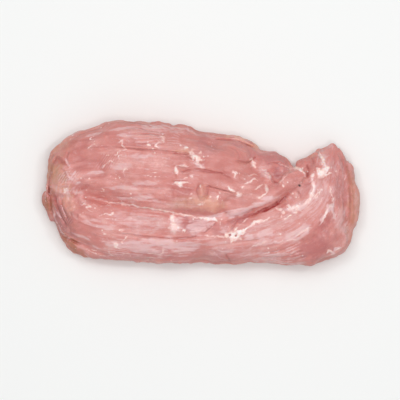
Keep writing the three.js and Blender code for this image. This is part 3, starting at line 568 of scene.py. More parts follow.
# Uneven patterns over the plan, each a sum of noises: (rise, the millimetres that one swing takes
# along X, Y and Z, seed)
TEXTURES = {
    "wander_x": [(0.7, (3.1, 3.1, 6), 11), (0.3, (1.2, 1.2, 3), 12)],
    "wander_y": [(0.7, (3.1, 3.1, 6), 21), (0.3, (1.2, 1.2, 3), 22)],
    "mark_edge": [(0.6, (2.3, 2.3, 1), 13), (0.5, (1.1, 1.1, 1), 14)],
    "bend_x": [(1.2, (9, 9, 9), 71)],
    "bend_y": [(1.2, (9, 9, 9), 81)],
    "stray_x": [(4, (8, 8, 5), 181)],
    "stray_y": [(4, (8, 8, 5), 191)],
    "fan_gaps": [(2, (4, 4, 4), 91)],
    "wisp_patches": [(1, (10, 10, 10), 151)],
    "vein_bends": [(0.25, (3.4, 3.4, 3.4), 141)],
    "tone_edge": [(4, (7, 7, 9), 201)],
    "groove_patches": [(1, (18, 18, 18), 171)],
    "lumps": [(1, (9, 9, 9), 51)],
    "small_lumps": [(1, (3.4, 3.4, 3.4), 61)],
    "pits": [(1, (1.7, 1.7, 1.7), 101)],
}
# The same along the muscle, across it and upwards
STRAND_TEXTURES = {
    "skin_edge": [(0.9, (7, 1.1, 3), 15), (0.5, (3, 0.7, 3), 16)],
    "films": [(1, (17, 3.4, 3.4), 111), (0.4, (5, 1.6, 1.6), 121)],
    "veins": [(1, (14, 2.6, 2.6), 131)],
    "grooves": [(1, (45, 6.5, 6.5), 161)],
    "bundles": [(0.32, (55, 4.2, 4.2), 31)],
    "fibres": [(0.14, (24, 1.5, 1.5), 41)],
}

# The label hides the meat from one X to the other. There, and on the flanks, the photo shows
# nothing, and films, veins and grooves come from the textures.
LABEL_FROM, LABEL_FROM_FADE = -86, 10
LABEL_TO, LABEL_TO_FADE = -20, 8
FLANK_SHARE = 0.8
FILM_STRENGTH, FILM_FROM, FILM_FADE = 0.6, 0.3, 0.6
VEIN_STRENGTH, VEIN_WIDTH = 0.75, 0.14
WISP_FROM, WISP_FADE = 0.3, 0.35
GROOVE_WIDTH, GROOVE_FROM, GROOVE_FADE = 0.3, -0.3, 0.5

# The relief of the surface, in millimetres
LUMPS = {"lumps": (0.35, 0.35), "small_lumps": (0.16, 0.24), "pits": (0.06, 0.06)}
RAISED = {"fat_and_glints": 0.3, "skin_and_sheen": 0.15, "deep_red_and_shade": -0.15, "groove": -0.5}
FLOOR_FROM, FLOOR_FADE = 0.5, 5  # the height from which the relief fades in
CALM_SHARE, CALM_GROWTH = 0.9, 2.5  # how much of it is kept out of creases

# How the marks temper each other
CREASE_ON_FAT = 0.8
TONE_ON_SKIN = 0.6
# grooves are painted with crease shade too, at this share
GROOVE_AS_CREASE = 0.5
TONE_LEAST, TONE_FROM, TONE_FADE = 0.15, 5, 12  # how the tones fade down the flanks
WRINKLE_ON_FLANK = 0.8
SIDE_FULL = 0.7  # the upward part of a normal from which a place is no side
SPECK_EDGE = 0.5

# The repeatable random numbers behind the textures
HASH_START = 1442695041
HASH_FACTORS = (374761393, 668265263, 2246822519)
HASH_MIX = 1274126177
HASH_SHIFT, HASH_LAST_SHIFT = 13, 16
HASH_MOST = 0xFFFFFFFF
NOISE_GAIN = 2.6

# Colours, as sRGB from 0 to 255, and the curve of sRGB
SRGB_KNEE, SRGB_SLOPE, SRGB_OFFSET, SRGB_POWER = 0.04045, 12.92, 0.055, 2.4
FLESH = (213, 137, 130)
FLESH_PALE = (228, 166, 160)
FLESH_RED = (188, 96, 88)
# white fat, also the colour of painted highlights
FAT_AND_GLINT_COLOUR = (255, 239, 235)
FAT_SHADE = (250, 213, 206)
# pale skin, also the colour of painted sheen
SKIN_AND_SHEEN_COLOUR = (233, 193, 193)
# deep red, also the colour of painted shade in creases, folds and hollows
DEEP_RED_AND_SHADE_COLOUR = (160, 44, 44)
WARM_COLOUR = (234, 181, 150)
# brown, also the colour of painted shade
BROWN_AND_SHADE_COLOUR = (172, 103, 67)
# Painted light: a lighter, warmer rim on the steep sides, where light passes through the thin
# flanks and bounces up from the floor; partly the tan of the flanks
RIM_LIGHT_AND_TAN_COLOUR = (226, 162, 149)
# purple, also the colour of painted shade
PURPLE_AND_SHADE_COLOUR = (180, 111, 116)
SPECK_COLOUR = (40, 16, 12)
FLOOR_COLOUR = (243, 244, 243)

# How far each kind of mark tints the flesh: (mark, share, colour), in this order
TINTS = (
    # the sides take painted rim light, partly their tan
    ("side", 0.4, RIM_LIGHT_AND_TAN_COLOUR),
    ("warm", 0.75, WARM_COLOUR),
    # purple marks, partly painted shade
    ("purple_and_shade", 0.7, PURPLE_AND_SHADE_COLOUR),
    # brown marks, partly painted shade
    ("brown_and_shade", 0.7, BROWN_AND_SHADE_COLOUR),
    # painted shade down in the creases and grooves
    ("crease_shade", 0.5, DEEP_RED_AND_SHADE_COLOUR),
    # deep red marks, partly painted shade
    ("deep_red_and_shade", 0.6, DEEP_RED_AND_SHADE_COLOUR),
)
WRINKLE_TINT = 0.8

# Patterns in the material that run with the muscle: (swings for each millimetre along it, across
# it and upwards, detail, roughness), and those that are even: (swings for each metre, detail)
STRAND_PATTERNS = {
    "bundles": ((0.025, 0.24, 0.24), 2, 0.55),
    "fibres": ((0.09, 0.9, 0.9), 3, 0.6),
    "grain": ((0.5, 1.5, 1.5), 3, 0.6),
}
EVEN_PATTERNS = {"blotches": (75, 3), "lumps": (420, 3), "dots": (1150, 1), "fine": (900, 2)}
EVEN_ROUGHNESS = 0.55
CELLS_PER_METRE = 430

# Sums of patterns, each with its weight
PALE_SUM = {"bundles": 0.5, "blotches": 0.5}
RED_SUM = {"fibres": 0.5, "grain": 0.5}
SKIN_SUM = {"grain": 0.7, "fibres": 1.1}
FAT_SUM = {"grain": 1.5}
WAVE_SUM = {"lumps": 3, "blotches": 9}

# Ranges of a value and what it becomes: (from, to, becomes from, becomes to)
RANGES = {
    "pale": (0.44, 0.68, 0, 1),
    "red": (0.4, 0.68, 0, 0.4),
    "skin_and_sheen": (0.9, 1.8, 0, 0.85),
    "fleck": (0.64, 0.74, 0, 1),
    "fleck_patch": (0.45, 0.62, 0.1, 0.5),
    "dot_radius": (0.55, 0.8, 0, 0.34),
    "dot_edge": (0, 0.14, 0, 1),
    "dot_patch": (0.52, 0.62, 0, 0.6),
    "wave": (-0.2, 0.9, 0, 1),
    "fat_halo": (0.02, 0.7, 0, 0.55),
    "fat_tone": (0.4, 0.56, 0, 1),
    "fat_and_glints": (0.85, 1.9, 0, 0.97),
    "roughness": (0.3, 0.7, 0.36, 0.5),
    "specular": (0, 0.9, 0.5, 0.12),
    "coat": (0, 0.8, 0.6, 0.05),
}

# Bumps: (pattern, height in metres, strength)
BUMPS = (
    ("grain", 0.0002, 0.3),
    ("lumps", 0.0005, 0.25),
    ("fine", 0.0004, 0.5),
    ("wrinkles", 0.0004, 0.6),
)

MIX_A, MIX_B, MIX_RESULT = 6, 7, 2  # the colour sockets of a Mix node

# Lights: (place, size, power, whether it shows as a glint), in metres and watts
LIGHTS = {
    "key": ((0.06, 0.2, 1.15), (0.9, 0.9), 3.6, False),
    "fill": ((0.25, -0.5, 1.0), (0.8, 0.8), 0.9, False),
    "glint_near": ((0.12, -0.2, 1.3), (0.16, 0.16), 1.4, True),
    "glint_left": ((-0.45, 0.3, 1.2), (0.16, 0.2), 1.2, True),
    "glint_right": ((0.5, 0.25, 1.2), (0.2, 0.16), 1.3, True),
    "sheen": ((-0.15, 0.35, 1.1), (0.7, 0.5), 1.3, True),
}
LIGHT_AIM = (0, 0, 0.02)
SKY_STRENGTH = 0.48
FLOOR_SIZE = 6
FLOOR_ROUGHNESS = 0.8

CAMERA_HEIGHT = 2.6
FRAME_WIDTH = 0.254  # what the photograph's 400 pixels span at the height of the meat's rim
FRAME_MIDDLE = (-0.0006, -0.0044)
RIM_HEIGHT = 0.014
SENSOR_WIDTH = 36


def smooth(t):
    t = np.clip(t, 0, 1)
    return t * t * (3 - 2 * t)


def ramp(value, start, length):
    """A smooth rise from 0 to 1 over the length that follows the start."""
    return smooth((value - start) / length)


def hashed(*cells, seed):
    """A repeatable number from 0 to 1 for each whole-number cell."""
    most = np.uint64(HASH_MOST)
    mixed = np.full(cells[0].shape, seed * HASH_START, dtype=np.uint64)
    for cell, factor in zip(cells, HASH_FACTORS):
        mixed = (mixed + cell.astype(np.int64).astype(np.uint64) * np.uint64(factor)) & most
        mixed = ((mixed ^ (mixed >> np.uint64(HASH_SHIFT))) * np.uint64(HASH_MIX)) & most
    return (mixed ^ (mixed >> np.uint64(HASH_LAST_SHIFT))) / HASH_MOST


def noise(x, y, z, seed):
    """Smooth noise from about -1 to 1 that changes over one unit."""
    low = [np.floor(v) for v in (x, y, z)]
    part = [smooth(v - cell) for v, cell in zip((x, y, z), low)]
    total = np.zeros(x.shape)
    for corner in np.ndindex(2, 2, 2):
        weight = np.ones(x.shape)
        for share, bit in zip(part, corner):
            weight = weight * (share if bit else 1 - share)
        total += weight * hashed(*[c + bit for c, bit in zip(low, corner)], seed=seed)
    return NOISE_GAIN * (total - 0.5)


def texture(layers, *place):
    """The sum of the noises of one pattern."""
    return sum(
        rise * noise(*[v / size for v, size in zip(place, sizes)], seed)
        for rise, sizes, seed in layers
    )


def points_of(path):
    """The points of a written path, one row for each."""
    return np.array([[float(value) for value in point.split(",")] for point in path.split()])


def curve_points(path, closed=False):
    """A smooth curve through the points, the same one as in the solid's source."""
    p = points_of(path) if isinstance(path, str) else path
    if closed:
        p = np.vstack([p[-1:], p, p[:2]])
    else:
        p = np.vstack([2 * p[0] - p[1], p, 2 * p[-1] - p[-2]])
    t = np.linspace(0, 1, POINTS_PER_SPAN, endpoint=False)[:, None]
    line = []
    for a, b, c, d in zip(p[:-3], p[1:-2], p[2:-1], p[3:]):
        cubic = (3 * b - a - 3 * c + d) * t**3
        line.append(b + 0.5 * ((c - a) * t + (2 * a - 5 * b + 4 * c - d) * t**2 + cubic))
    return np.vstack([*line, p[-2:-1]])


def nearest(line, x, y):
    """Distance to the line, the share of it passed there, and the side, positive on its left."""
    best = np.full(x.shape, np.inf)
    share = np.zeros(x.shape)
    side = np.ones(x.shape)
    for i, (a, b) in enumerate(zip(line[:-1], line[1:])):
        dx, dy = b - a
        t = np.clip(((x - a[0]) * dx + (y - a[1]) * dy) / (dx * dx + dy * dy), 0, 1)
        ex = x - a[0] - t * dx
        ey = y - a[1] - t * dy
        distance = np.hypot(ex, ey)
        closer = distance < best
        best[closer] = distance[closer]
        share[closer] = (i + t[closer]) / (len(line) - 1)
        side[closer] = np.where(dx * ey - dy * ex < 0, -1, 1)[closer]
    return best, share, side


def is_inside(line, x, y):
    inside = np.zeros(x.shape, bool)
    for a, b in zip(line[:-1], line[1:]):
        crosses = (a[1] > y) != (b[1] > y)
        if a[1] != b[1]:
            inside ^= crosses & (x < a[0] + (y - a[1]) * (b[0] - a[0]) / (b[1] - a[1]))
    return inside


def near_line(line, x, y, reach):
    low = line.min(0) - reach
    high = line.max(0) + reach
    return (x > low[0]) & (x < high[0]) & (y > low[1]) & (y < high[1])


def beside(path, x, y, reach):
    """Which places are near the curve, and for those, the distance to it, how far its nearer end
    is, as a share of its length, and the side."""
    line = curve_points(path)
    near = near_line(line, x, y, reach)
    distance, share, side = nearest(line, x[near], y[near])
    return near, distance, np.minimum(share, 1 - share), side


class Plan:
    """Maps of the meat seen from above, read between their points."""

    def __init__(self):
        self.x, self.y = np.meshgrid(
            *[np.arange(-half, half + PLAN_STEP, PLAN_STEP) for half in PLAN_HALF], indexing="ij"
        )
        self.folds = [self.fold_maps(fold) for fold in FOLDS.values()]
        self.relief = self.relief_map()

    def fold_maps(self, fold):
        line = curve_points(fold["outline"], closed=True)
        near = near_line(line, self.x, self.y, FOLD_REACH)
        x, y = self.x[near], self.y[near]
        distance = nearest(line, x, y)[0]
        depth = np.where(is_inside(line, x, y), distance, -distance)
        side = np.full(self.x.shape, 1 + FOLD_REACH / fold["edge"])
        side[near] = np.maximum(0, 1 - depth / fold["edge"])
        total = np.zeros(self.x.shape)
        weights = np.full(self.x.shape, CROWN_START)
        for cx, cy, height in points_of(fold["crown"]):
            away = (self.x - cx) ** 2 + (self.y - cy) ** 2
            weight = np.exp(-away / (2 * CROWN_REACH**2)) + CROWN_LEAST
            total += weight * height
            weights += weight
        return {**fold, "side": side, "top": total / weights}

    def relief_map(self):
        rise = np.zeros(self.x.shape)
        for width, depth, lip, path in CREASES.values():
            near, distance, end, side = beside(path, self.x, self.y, REACH * width)
            away = distance / width
            from_lip = (distance - LIP_PLACE * width) / width
            proud = np.where(side > 0, lip * np.exp(-(from_lip**2)), 0)
            rise[near] += smooth(end / CREASE_FADE) * (proud - depth * np.exp(-(away**2)))
        for cx, cy, reach_x, reach_y, height in SWELLS:
            away = ((self.x - cx) / reach_x) ** 2 + ((self.y - cy) / reach_y) ** 2
            rise += height * np.exp(-away)
        for length, degrees, phase, height in WAVES:
            turn = np.radians(degrees)
            along = self.x * np.cos(turn) + self.y * np.sin(turn)
            rise += height * np.sin(2 * np.pi * along / length + phase)
        return rise

    def read(self, values, x, y):
        u = np.clip((x + PLAN_HALF[0]) / PLAN_STEP, 0, values.shape[0] - LAST_CELL)
        v = np.clip((y + PLAN_HALF[1]) / PLAN_STEP, 0, values.shape[1] - LAST_CELL)
        i, j = u.astype(int), v.astype(int)
        fu, fv = u - i, v - j
        near = values[i, j] * (1 - fv) + values[i, j + 1] * fv
        far = values[i + 1, j] * (1 - fv) + values[i + 1, j + 1] * fv
        return near * (1 - fu) + far * fu

    def depth(self, x, y, z):
        """Millimetres inside the meat, negative outside."""
        body = None
        for fold in self.folds:
            height = z - fold["waist"]
            half = np.where(height > 0, self.read(fold["top"], x, y) - fold["waist"], fold["belly"])
            side = self.read(fold["side"], x, y)
            own = (1 - np.hypot(side, height / half)) * np.minimum(fold["edge"], half)
            if body is None:
                body = own
            else:
                mix = np.maximum(BLEND - np.abs(body - own), 0) / BLEND
                body = np.maximum(body, own) + mix * mix * BLEND / 4
        return body + self.read(self.relief, x, y) * relief_share(z)


def relief_share(z):
    return ramp(z, RELIEF_FROM, RELIEF_FULL - RELIEF_FROM)


def planes(stretches):
    values = []
    for start, end, step in stretches:
        count = round((end - start) / step)
        values.extend(start + (end - start) * n / count for n in range(count))
    return np.array([*values, stretches[-1][1]])


CORNERS = np.array(list(np.ndindex(2, 2, 2)))


def plain_patterns():
    """For each pattern of inside corners of a cell, whether each side is in one piece."""
    plain = np.ones(2 ** len(CORNERS), bool)
    for pattern in range(len(plain)):
        inside = [bool(pattern >> n & 1) for n in range(len(CORNERS))]
        for wanted in (True, False):
            members = [n for n in range(len(CORNERS)) if inside[n] == wanted]
            reached = members[:1]
            for n in reached:
                for bit in (1, 2, 4):
                    if inside[n ^ bit] == wanted and n ^ bit not in reached:
                        reached.append(n ^ bit)
            if len(reached) < len(members):
                plain[pattern] = False
    return plain


def corner_view(values, corner):
    return values[tuple(slice(c, values.shape[n] - 1 + c) for n, c in enumerate(corner))]


def fill_pinches(depths):
    """Fills the crevices too narrow for the net, where it would touch itself along an edge."""
    plain = plain_patterns()
    while True:
        inside = depths > 0
        pattern = sum(corner_view(inside, c).astype(int) << n for n, c in enumerate(CORNERS))
        cells = np.argwhere(~plain[pattern])
        if not len(cells):
            return
        corners = cells[:, None, :] + CORNERS[None]
        values = depths[tuple(np.moveaxis(corners, 2, 0))]
        values[values > 0] = -np.inf
        chosen = corners[np.arange(len(cells)), values.argmax(1)]
        depths[tuple(chosen.T)] = FILLED


def surface_net(levels, depths):
    """A closed quad surface through the zero level: one vertex for each cell that the surface
    crosses, one quad for each grid edge that it crosses."""
    inside = depths > 0
    count = sum(corner_view(inside, c).astype(int) for c in CORNERS)
    cells = np.argwhere((count > 0) & (count < len(CORNERS)))
    index = np.full(count.shape, -1)
    index[tuple(cells.T)] = np.arange(len(cells))
    sums = np.zeros((len(cells), 3))
    crossings = np.zeros(len(cells))
    for start in CORNERS:
        for axis in range(3):
            if start[axis]:
                continue
            end = start.copy()
            end[axis] = 1
            a = depths[tuple((cells + start).T)]
            b = depths[tuple((cells + end).T)]
            crosses = (a > 0) != (b > 0)
            t = np.where(crosses, a / np.where(crosses, a - b, 1), 0)
            sums += crosses[:, None] * (start + t[:, None] * (end - start))
            crossings += crosses
    places = cells + sums / crossings[:, None]
    positions = np.stack(
        [np.interp(places[:, n], np.arange(len(levels[n])), levels[n]) for n in range(3)], axis=1
    )
    return positions, net_quads(inside, index)


def net_quads(inside, index):
    quads = []
    for axis in range(3):
        u, v = (axis + 1) % 3, (axis + 2) % 3
        ahead = np.moveaxis(inside, axis, 0)
        changes = np.argwhere(ahead[:-1] != ahead[1:])
        edges = np.empty_like(changes)
        edges[:, [axis] + [n for n in range(3) if n != axis]] = changes
        ring = []
        for du, dv in ((0, 0), (-1, 0), (-1, -1), (0, -1)):
            cell = edges.copy()
            cell[:, u] += du
            cell[:, v] += dv
            ring.append(index[tuple(cell.T)])
        ring = np.stack(ring, axis=1)
        outward = inside[tuple(edges.T)]
        quads.append(np.where(outward[:, None], ring, ring[:, ::-1]))
    return np.vstack(quads)


def relax(positions, quads):
    """Each vertex goes halfway to the middle of its neighbours."""
    ends = np.vstack([quads[:, [n, (n + 1) % 4]] for n in range(4)])
    counts = np.bincount(ends[:, 0], minlength=len(positions))
    for n in range(3):
        sums = np.bincount(ends[:, 0], weights=positions[ends[:, 1], n], minlength=len(positions))
        positions[:, n] += 0.5 * (sums / counts - positions[:, n])


def settle(plan, positions):
    """Each vertex moves along the slope of the field towards the true surface."""
    depth = plan.depth(*positions.T)
    steps = SETTLE_PROBE * np.eye(3)
    slope = np.stack([plan.depth(*(positions + step).T) - depth for step in steps], axis=1)
    slope /= SETTLE_PROBE
    steepness = np.maximum(np.linalg.norm(slope, axis=1), SLOPE_LEAST)
    move = np.minimum(np.abs(depth) / np.maximum(steepness, SETTLE_SLOPE), SETTLE_MOST)
    positions -= (np.sign(depth) * move / steepness)[:, None] * slope


def stretch_net(plan):
    levels = [planes(GRID[axis]) for axis in "xyz"]
    x, y = np.meshgrid(levels[0], levels[1], indexing="ij")
    depths = np.stack([plan.depth(x, y, z) for z in levels[2]], axis=2)
    depths[:, :, 0] = -1
    fill_pinches(depths)
    positions, quads = surface_net(levels, depths)
    for _ in range(SETTLE_ROUNDS):
        relax(positions, quads)
        settle(plan, positions)
    return positions, quads


def drop_loose(work):
    """Deletes the shells that don't hang together with the highest vertex."""
    top = max(work.verts, key=lambda vert: vert.co.z)
    reached = {top}
    waiting = [top]
    while waiting:
        vert = waiting.pop()
        for edge in vert.link_edges:
            other = edge.other_vert(vert)
            if other not in reached:
                reached.add(other)
                waiting.append(other)
    loose = [vert for vert in work.verts if vert not in reached]
    bmesh.ops.delete(work, geom=loose, context="VERTS")


def cut_flat(positions, quads):
    """A mesh of the net with its lowest part cut away and the underside closed."""
    mesh = bpy.data.meshes.new("tenderloin_meat")
    mesh.from_pydata(positions.tolist(), [], quads.tolist())
    work = bmesh.new()
    work.from_mesh(mesh)
    bmesh.ops.bisect_plane(
        work,
        geom=work.verts[:] + work.edges[:] + work.faces[:],
        plane_co=(0, 0, CUT_HEIGHT),
        plane_no=(0, 0, -1),
        clear_outer=True,
    )
    drop_loose(work)
    bmesh.ops.edgenet_fill(work, edges=[edge for edge in work.edges if edge.is_boundary])
    bmesh.ops.recalc_face_normals(work, faces=work.faces[:])
    work.to_mesh(mesh)
    work.free()
    return mesh


def read_vectors(items, name):
    flat = np.empty(3 * len(items), np.float32)
    items.foreach_get(name, flat)
    return flat.reshape(-1, 3).astype(float)


def store(mesh, name, values):
    """Keeps one number, or one vector, for each vertex."""
    kind, field = ("FLOAT", "value") if values.ndim == 1 else ("FLOAT_VECTOR", "vector")
    data = mesh.attributes.new(name, kind, "POINT").data
    data.foreach_set(field, values.astype(np.float32).ravel())


def marks(table, x, y, frayed=None):
    """The strength of the marks in one table at each point."""
    if frayed is None:
        frayed = texture(TEXTURES["mark_edge"], x, y, 0 * x)
    strength = np.zeros(x.shape)
    for width, most, path in table.values():
        near, distance, end, _ = beside(path, x, y, REACH * width)
        fray = min(1, FRAY_LEAST + FRAY_GROWTH * width)
        reach = width * (MARK_REACH + frayed[near] * fray)
        reach *= MARK_END + (1 - MARK_END) * smooth(end / MARK_FADE)
        own = most * smooth((reach - distance) / (2 * width))
        strength[near] = np.maximum(strength[near], own)
    return strength


def fan_marks(x, y, gaps):
    """The strength of the fans of fibres at each point."""
    strength = np.zeros(x.shape)
    for count, width, most, first, last in FANS.values():
        for share in np.arange(count) / (count - 1):
            points = (1 - share) * points_of(first) + share * points_of(last)
            near, distance, end, _ = beside(points, x, y, REACH * width)
            own = most * smooth(end / FAN_FADE) * smooth(FAN_GAPS + gaps[near])
            own *= smooth((2 * width - distance) / width)
            strength[near] = np.maximum(strength[near], own)
    return strength


def crease_marks(x, y):
    """How far down in a crease each point is, from 0 to 1, which is painted as shade there."""
    strength = np.zeros(x.shape)
    for width, depth, _, path in CREASES.values():
        if depth > 0:
            near, distance, end, _ = beside(path, x, y, SHADE_REACH * width)
            own = smooth(end / CREASE_FADE) * min(depth / SHADE_DEPTH, 1)
            own *= np.exp(-((distance / (SHADE_WIDTH * width)) ** 2))
            strength[near] = np.maximum(strength[near], own)
    return strength


def strand_places(x, y):
    """Millimetres along the muscle's middle line, and to its left, of each point."""
    line = curve_points(SPINE)
    lengths = np.linalg.norm(np.diff(line, axis=0), axis=1)
    distance, share, side = nearest(line, x, y)
    passed = np.concatenate([[0], np.cumsum(lengths)])
    along = np.interp(share * (len(line) - 1), np.arange(len(line)), passed)
    return along, distance * side


class Places:
    """Where the vertices of the mesh lie, in millimetres, and the textures there."""

    def __init__(self, mesh):
        self.place = read_vectors(mesh.vertices, "co")
        self.normal = read_vectors(mesh.vertex_normals, "vector")
        self.x, self.y, self.z = self.place.T
        self.spot = self.place.T[:2]
        self.along, self.across = strand_places(self.x, self.y)
        self.top = relief_share(self.z)
        self.steep = 1 - smooth(self.normal[:, 2])
        self.covered = ramp(self.x, LABEL_FROM, LABEL_FROM_FADE)
        self.covered *= ramp(-self.x, -LABEL_TO, LABEL_TO_FADE)
        self.unseen = np.maximum(self.covered, FLANK_SHARE * self.steep)

    def plan(self, name):
        return texture(TEXTURES[name], self.x, self.y, self.z)

    def strand(self, name):
        return texture(STRAND_TEXTURES[name], self.along, self.across, self.z)

    def shift(self, name):
        return np.stack([self.plan(name + "_x"), self.plan(name + "_y")])


def skin_values(at, wander):
    """Silverskin and painted sheen: their marks, the fans of fibres, and films where the photo
    shows nothing.
    """
    skin_and_sheen = marks(SKIN_AND_SHEEN, *wander, at.strand("skin_edge")) * at.top
    fans = fan_marks(*(at.spot + at.shift("bend")), at.plan("fan_gaps")) * at.top
    films = FILM_STRENGTH * at.unseen * ramp(at.strand("films"), FILM_FROM, FILM_FADE)
    return np.maximum(np.maximum(skin_and_sheen, fans), films)


def fat_values(at, wander):
    """Fat and painted highlights: their marks, and fine veins where the photo shows nothing."""
    vein = np.abs(at.strand("veins") + at.plan("vein_bends"))
    wisps = smooth(1 - vein / VEIN_WIDTH) * ramp(at.plan("wisp_patches"), WISP_FROM, WISP_FADE)
    return np.maximum(marks(FAT_AND_GLINTS, *wander) * at.top, VEIN_STRENGTH * at.unseen * wisps)


def tone_values(at, wander):
    """The warm, purple and brown tones, the last two partly painted shade, which stray and fade
    down the flanks.
    """
    stray = wander + at.steep * at.shift("stray")
    shown = ramp(at.z - at.plan("tone_edge"), TONE_FROM, TONE_FADE)
    shown = TONE_LEAST + (1 - TONE_LEAST) * shown
    return [marks(table, *stray) * shown for table in (WARM, PURPLE_AND_SHADE, BROWN_AND_SHADE)]


def groove_values(at):
    """The grooves between the bundles of muscle, where the photo shows nothing."""
    groove = smooth(1 - np.abs(at.strand("grooves")) / GROOVE_WIDTH)
    groove *= ramp(at.plan("groove_patches"), GROOVE_FROM, GROOVE_FADE)
    return groove * np.maximum(at.covered, at.steep)


def surface_values(at):
    """The strength of each kind of mark at each vertex."""
    wander = at.spot + at.shift("wander")
    holes = marks(HOLES, *at.spot) * at.top
    crease_shade = crease_marks(*at.spot) * at.top
    warm, purple_and_shade, brown_and_shade = tone_values(at, wander)
    from_speck = np.hypot(at.x - SPECK[0], at.y - SPECK[1])
    return {
        # fat, partly painted highlights
        "fat_and_glints": fat_values(at, wander) * (1 - holes) * (1 - CREASE_ON_FAT * crease_shade),
        # silverskin, partly painted sheen
        "skin_and_sheen": skin_values(at, wander) * (1 - TONE_ON_SKIN * np.maximum(warm, brown_and_shade)),
        # deep red, partly painted shade
        "deep_red_and_shade": np.maximum(marks(DEEP_RED_AND_SHADE, *((at.spot + wander) / 2)), holes) * at.top,
        "warm": warm,
        # purple, partly painted shade
        "purple_and_shade": purple_and_shade,
        # brown, partly painted shade
        "brown_and_shade": brown_and_shade,
        # painted shade in the creases
        "crease_shade": crease_shade,
        "groove": groove_values(at),
        "wrinkle": marks(WRINKLES, *at.spot) * at.top * (1 - WRINKLE_ON_FLANK * at.steep),
        # steep places, which take painted rim light and a drier gloss
        "side": 1 - smooth(at.normal[:, 2] / SIDE_FULL),
        "speck": smooth((SPECK_RADIUS - from_speck) / SPECK_EDGE + 0.5) * at.top,
    }


def relief(at, values):
    """How far each vertex is raised."""
    rise = at.strand("bundles") + at.strand("fibres")
    for name, (flat, steep) in LUMPS.items():
        rise += (flat + steep * at.steep) * at.plan(name)
    for name, height in RAISED.items():
        rise += height * values[name]
    calm = CALM_SHARE * smooth(CALM_GROWTH * values["crease_shade"])
    return rise * ramp(at.z, FLOOR_FROM, FLOOR_FADE) * (1 - calm)


def make_meat(box):
    mesh = cut_flat(*stretch_net(Plan()))
    at = Places(mesh)
    values = surface_values(at)
    place = at.place + relief(at, values)[:, None] * at.normal
    low, high = (np.array(corner) / MM for corner in box)
    place = low + (place - place.min(0)) * (high - low) / (place.max(0) - place.min(0))
    mesh.vertices.foreach_set("co", (place * MM).astype(np.float32).ravel())
    mesh.shade_smooth()
    groove = values.pop("groove")
    values["crease_shade"] = np.maximum(values["crease_shade"], GROOVE_AS_CREASE * groove)
    for name, value in values.items():
        store(mesh, name, value)
    store(mesh, "strand", np.stack([at.along, at.across, at.z], axis=1))
    mesh.update()
    meat = bpy.data.objects.new("tenderloin_meat", mesh)
    bpy.context.scene.collection.objects.link(meat)
    return meat


def linear(colour):
    """An sRGB colour from 0 to 255 as the linear colour that a shader takes."""
    share = np.array(colour) / 255
    curved = ((share + SRGB_OFFSET) / (1 + SRGB_OFFSET)) ** SRGB_POWER
    lit = np.where(share <= SRGB_KNEE, share / SRGB_SLOPE, curved)
    return (*lit.tolist(), 1.0)


class Shader:
    """Short names for the nodes that a material is made of."""

    def __init__(self, name):
        self.material = bpy.data.materials.new(name)
        self.material.use_nodes = True
        self.tree = self.material.node_tree
        self.surface = self.tree.nodes["Principled BSDF"].inputs

    def put(self, socket, value):
        if isinstance(value, bpy.types.NodeSocket):
            self.tree.links.new(value, socket)
        else:
            socket.default_value = value

    def node(self, kind, inputs=(), **settings):
        """A new node with these settings, and these values or links in its inputs."""
        node = self.tree.nodes.new("ShaderNode" + kind)
        for name, value in settings.items():
            setattr(node, name, value)
        for key, value in dict(inputs).items():
            self.put(node.inputs[key], value)
        return node

    def value(self, name):
        return self.node("Attribute", attribute_name=name).outputs["Fac"]

    def strand(self, scale):
        place = self.node("Attribute", attribute_name="strand").outputs["Vector"]
        return self.node("VectorMath", {0: place, 1: scale}, operation="MULTIPLY").outputs["Vector"]

    def place(self, scale):
        place = self.node("TexCoord").outputs["Object"]
        inputs = {0: place, "Scale": scale}
        return self.node("VectorMath", inputs, operation="SCALE").outputs["Vector"]

    def across(self, way):
        """How far each point lies along a direction, given in radians for each metre."""
        place = self.node("TexCoord").outputs["Object"]
        return self.node("VectorMath", {0: place, 1: way}, operation="DOT_PRODUCT").outputs["Value"]

    def noise(self, vector, detail, roughness):
        inputs = {"Vector": vector, "Scale": 1, "Detail": detail, "Roughness": roughness}
        return self.node("TexNoise", inputs).outputs["Fac"]

    def cells(self, vector):
        """Distance to the nearest of many scattered points, and a random value for each point."""
        node = self.node("TexVoronoi", {"Vector": vector, "Scale": 1})
        return node.outputs["Distance"], node.outputs["Color"]

    def math(self, operation, *values):
        return self.node("Math", enumerate(values), operation=operation).outputs["Value"]

    def spread(self, value, name):
        """The value, carried from one range to another as RANGES says."""
        names = ("From Min", "From Max", "To Min", "To Max")
        inputs = {"Value": value, **dict(zip(names, RANGES[name]))}
        return self.node("MapRange", inputs, interpolation_type="SMOOTHSTEP").outputs["Result"]

    def mix(self, share, a, b):
        """A mix of two colours, each a link or an sRGB colour."""
        a, b = (linear(c) if isinstance(c, tuple) else c for c in (a, b))
        inputs = {"Factor": share, MIX_A: a, MIX_B: b}
        return self.node("Mix", inputs, data_type="RGBA").outputs[MIX_RESULT]

    def bump(self, height, distance, strength, normal):
        inputs = {"Height": height, "Distance": distance, "Strength": strength}
        if normal is not None:
            inputs["Normal"] = normal
        return self.node("Bump", inputs).outputs["Normal"]


def weighted(s, look, weights, start=None):
    """A sum of patterns, each with its weight, on top of the start."""
    parts = [s.math("MULTIPLY", look[name], weight) for name, weight in weights.items()]
    total = parts.pop(0) if start is None else start
    for part in parts:
        total = s.math("ADD", total, part)
    return total


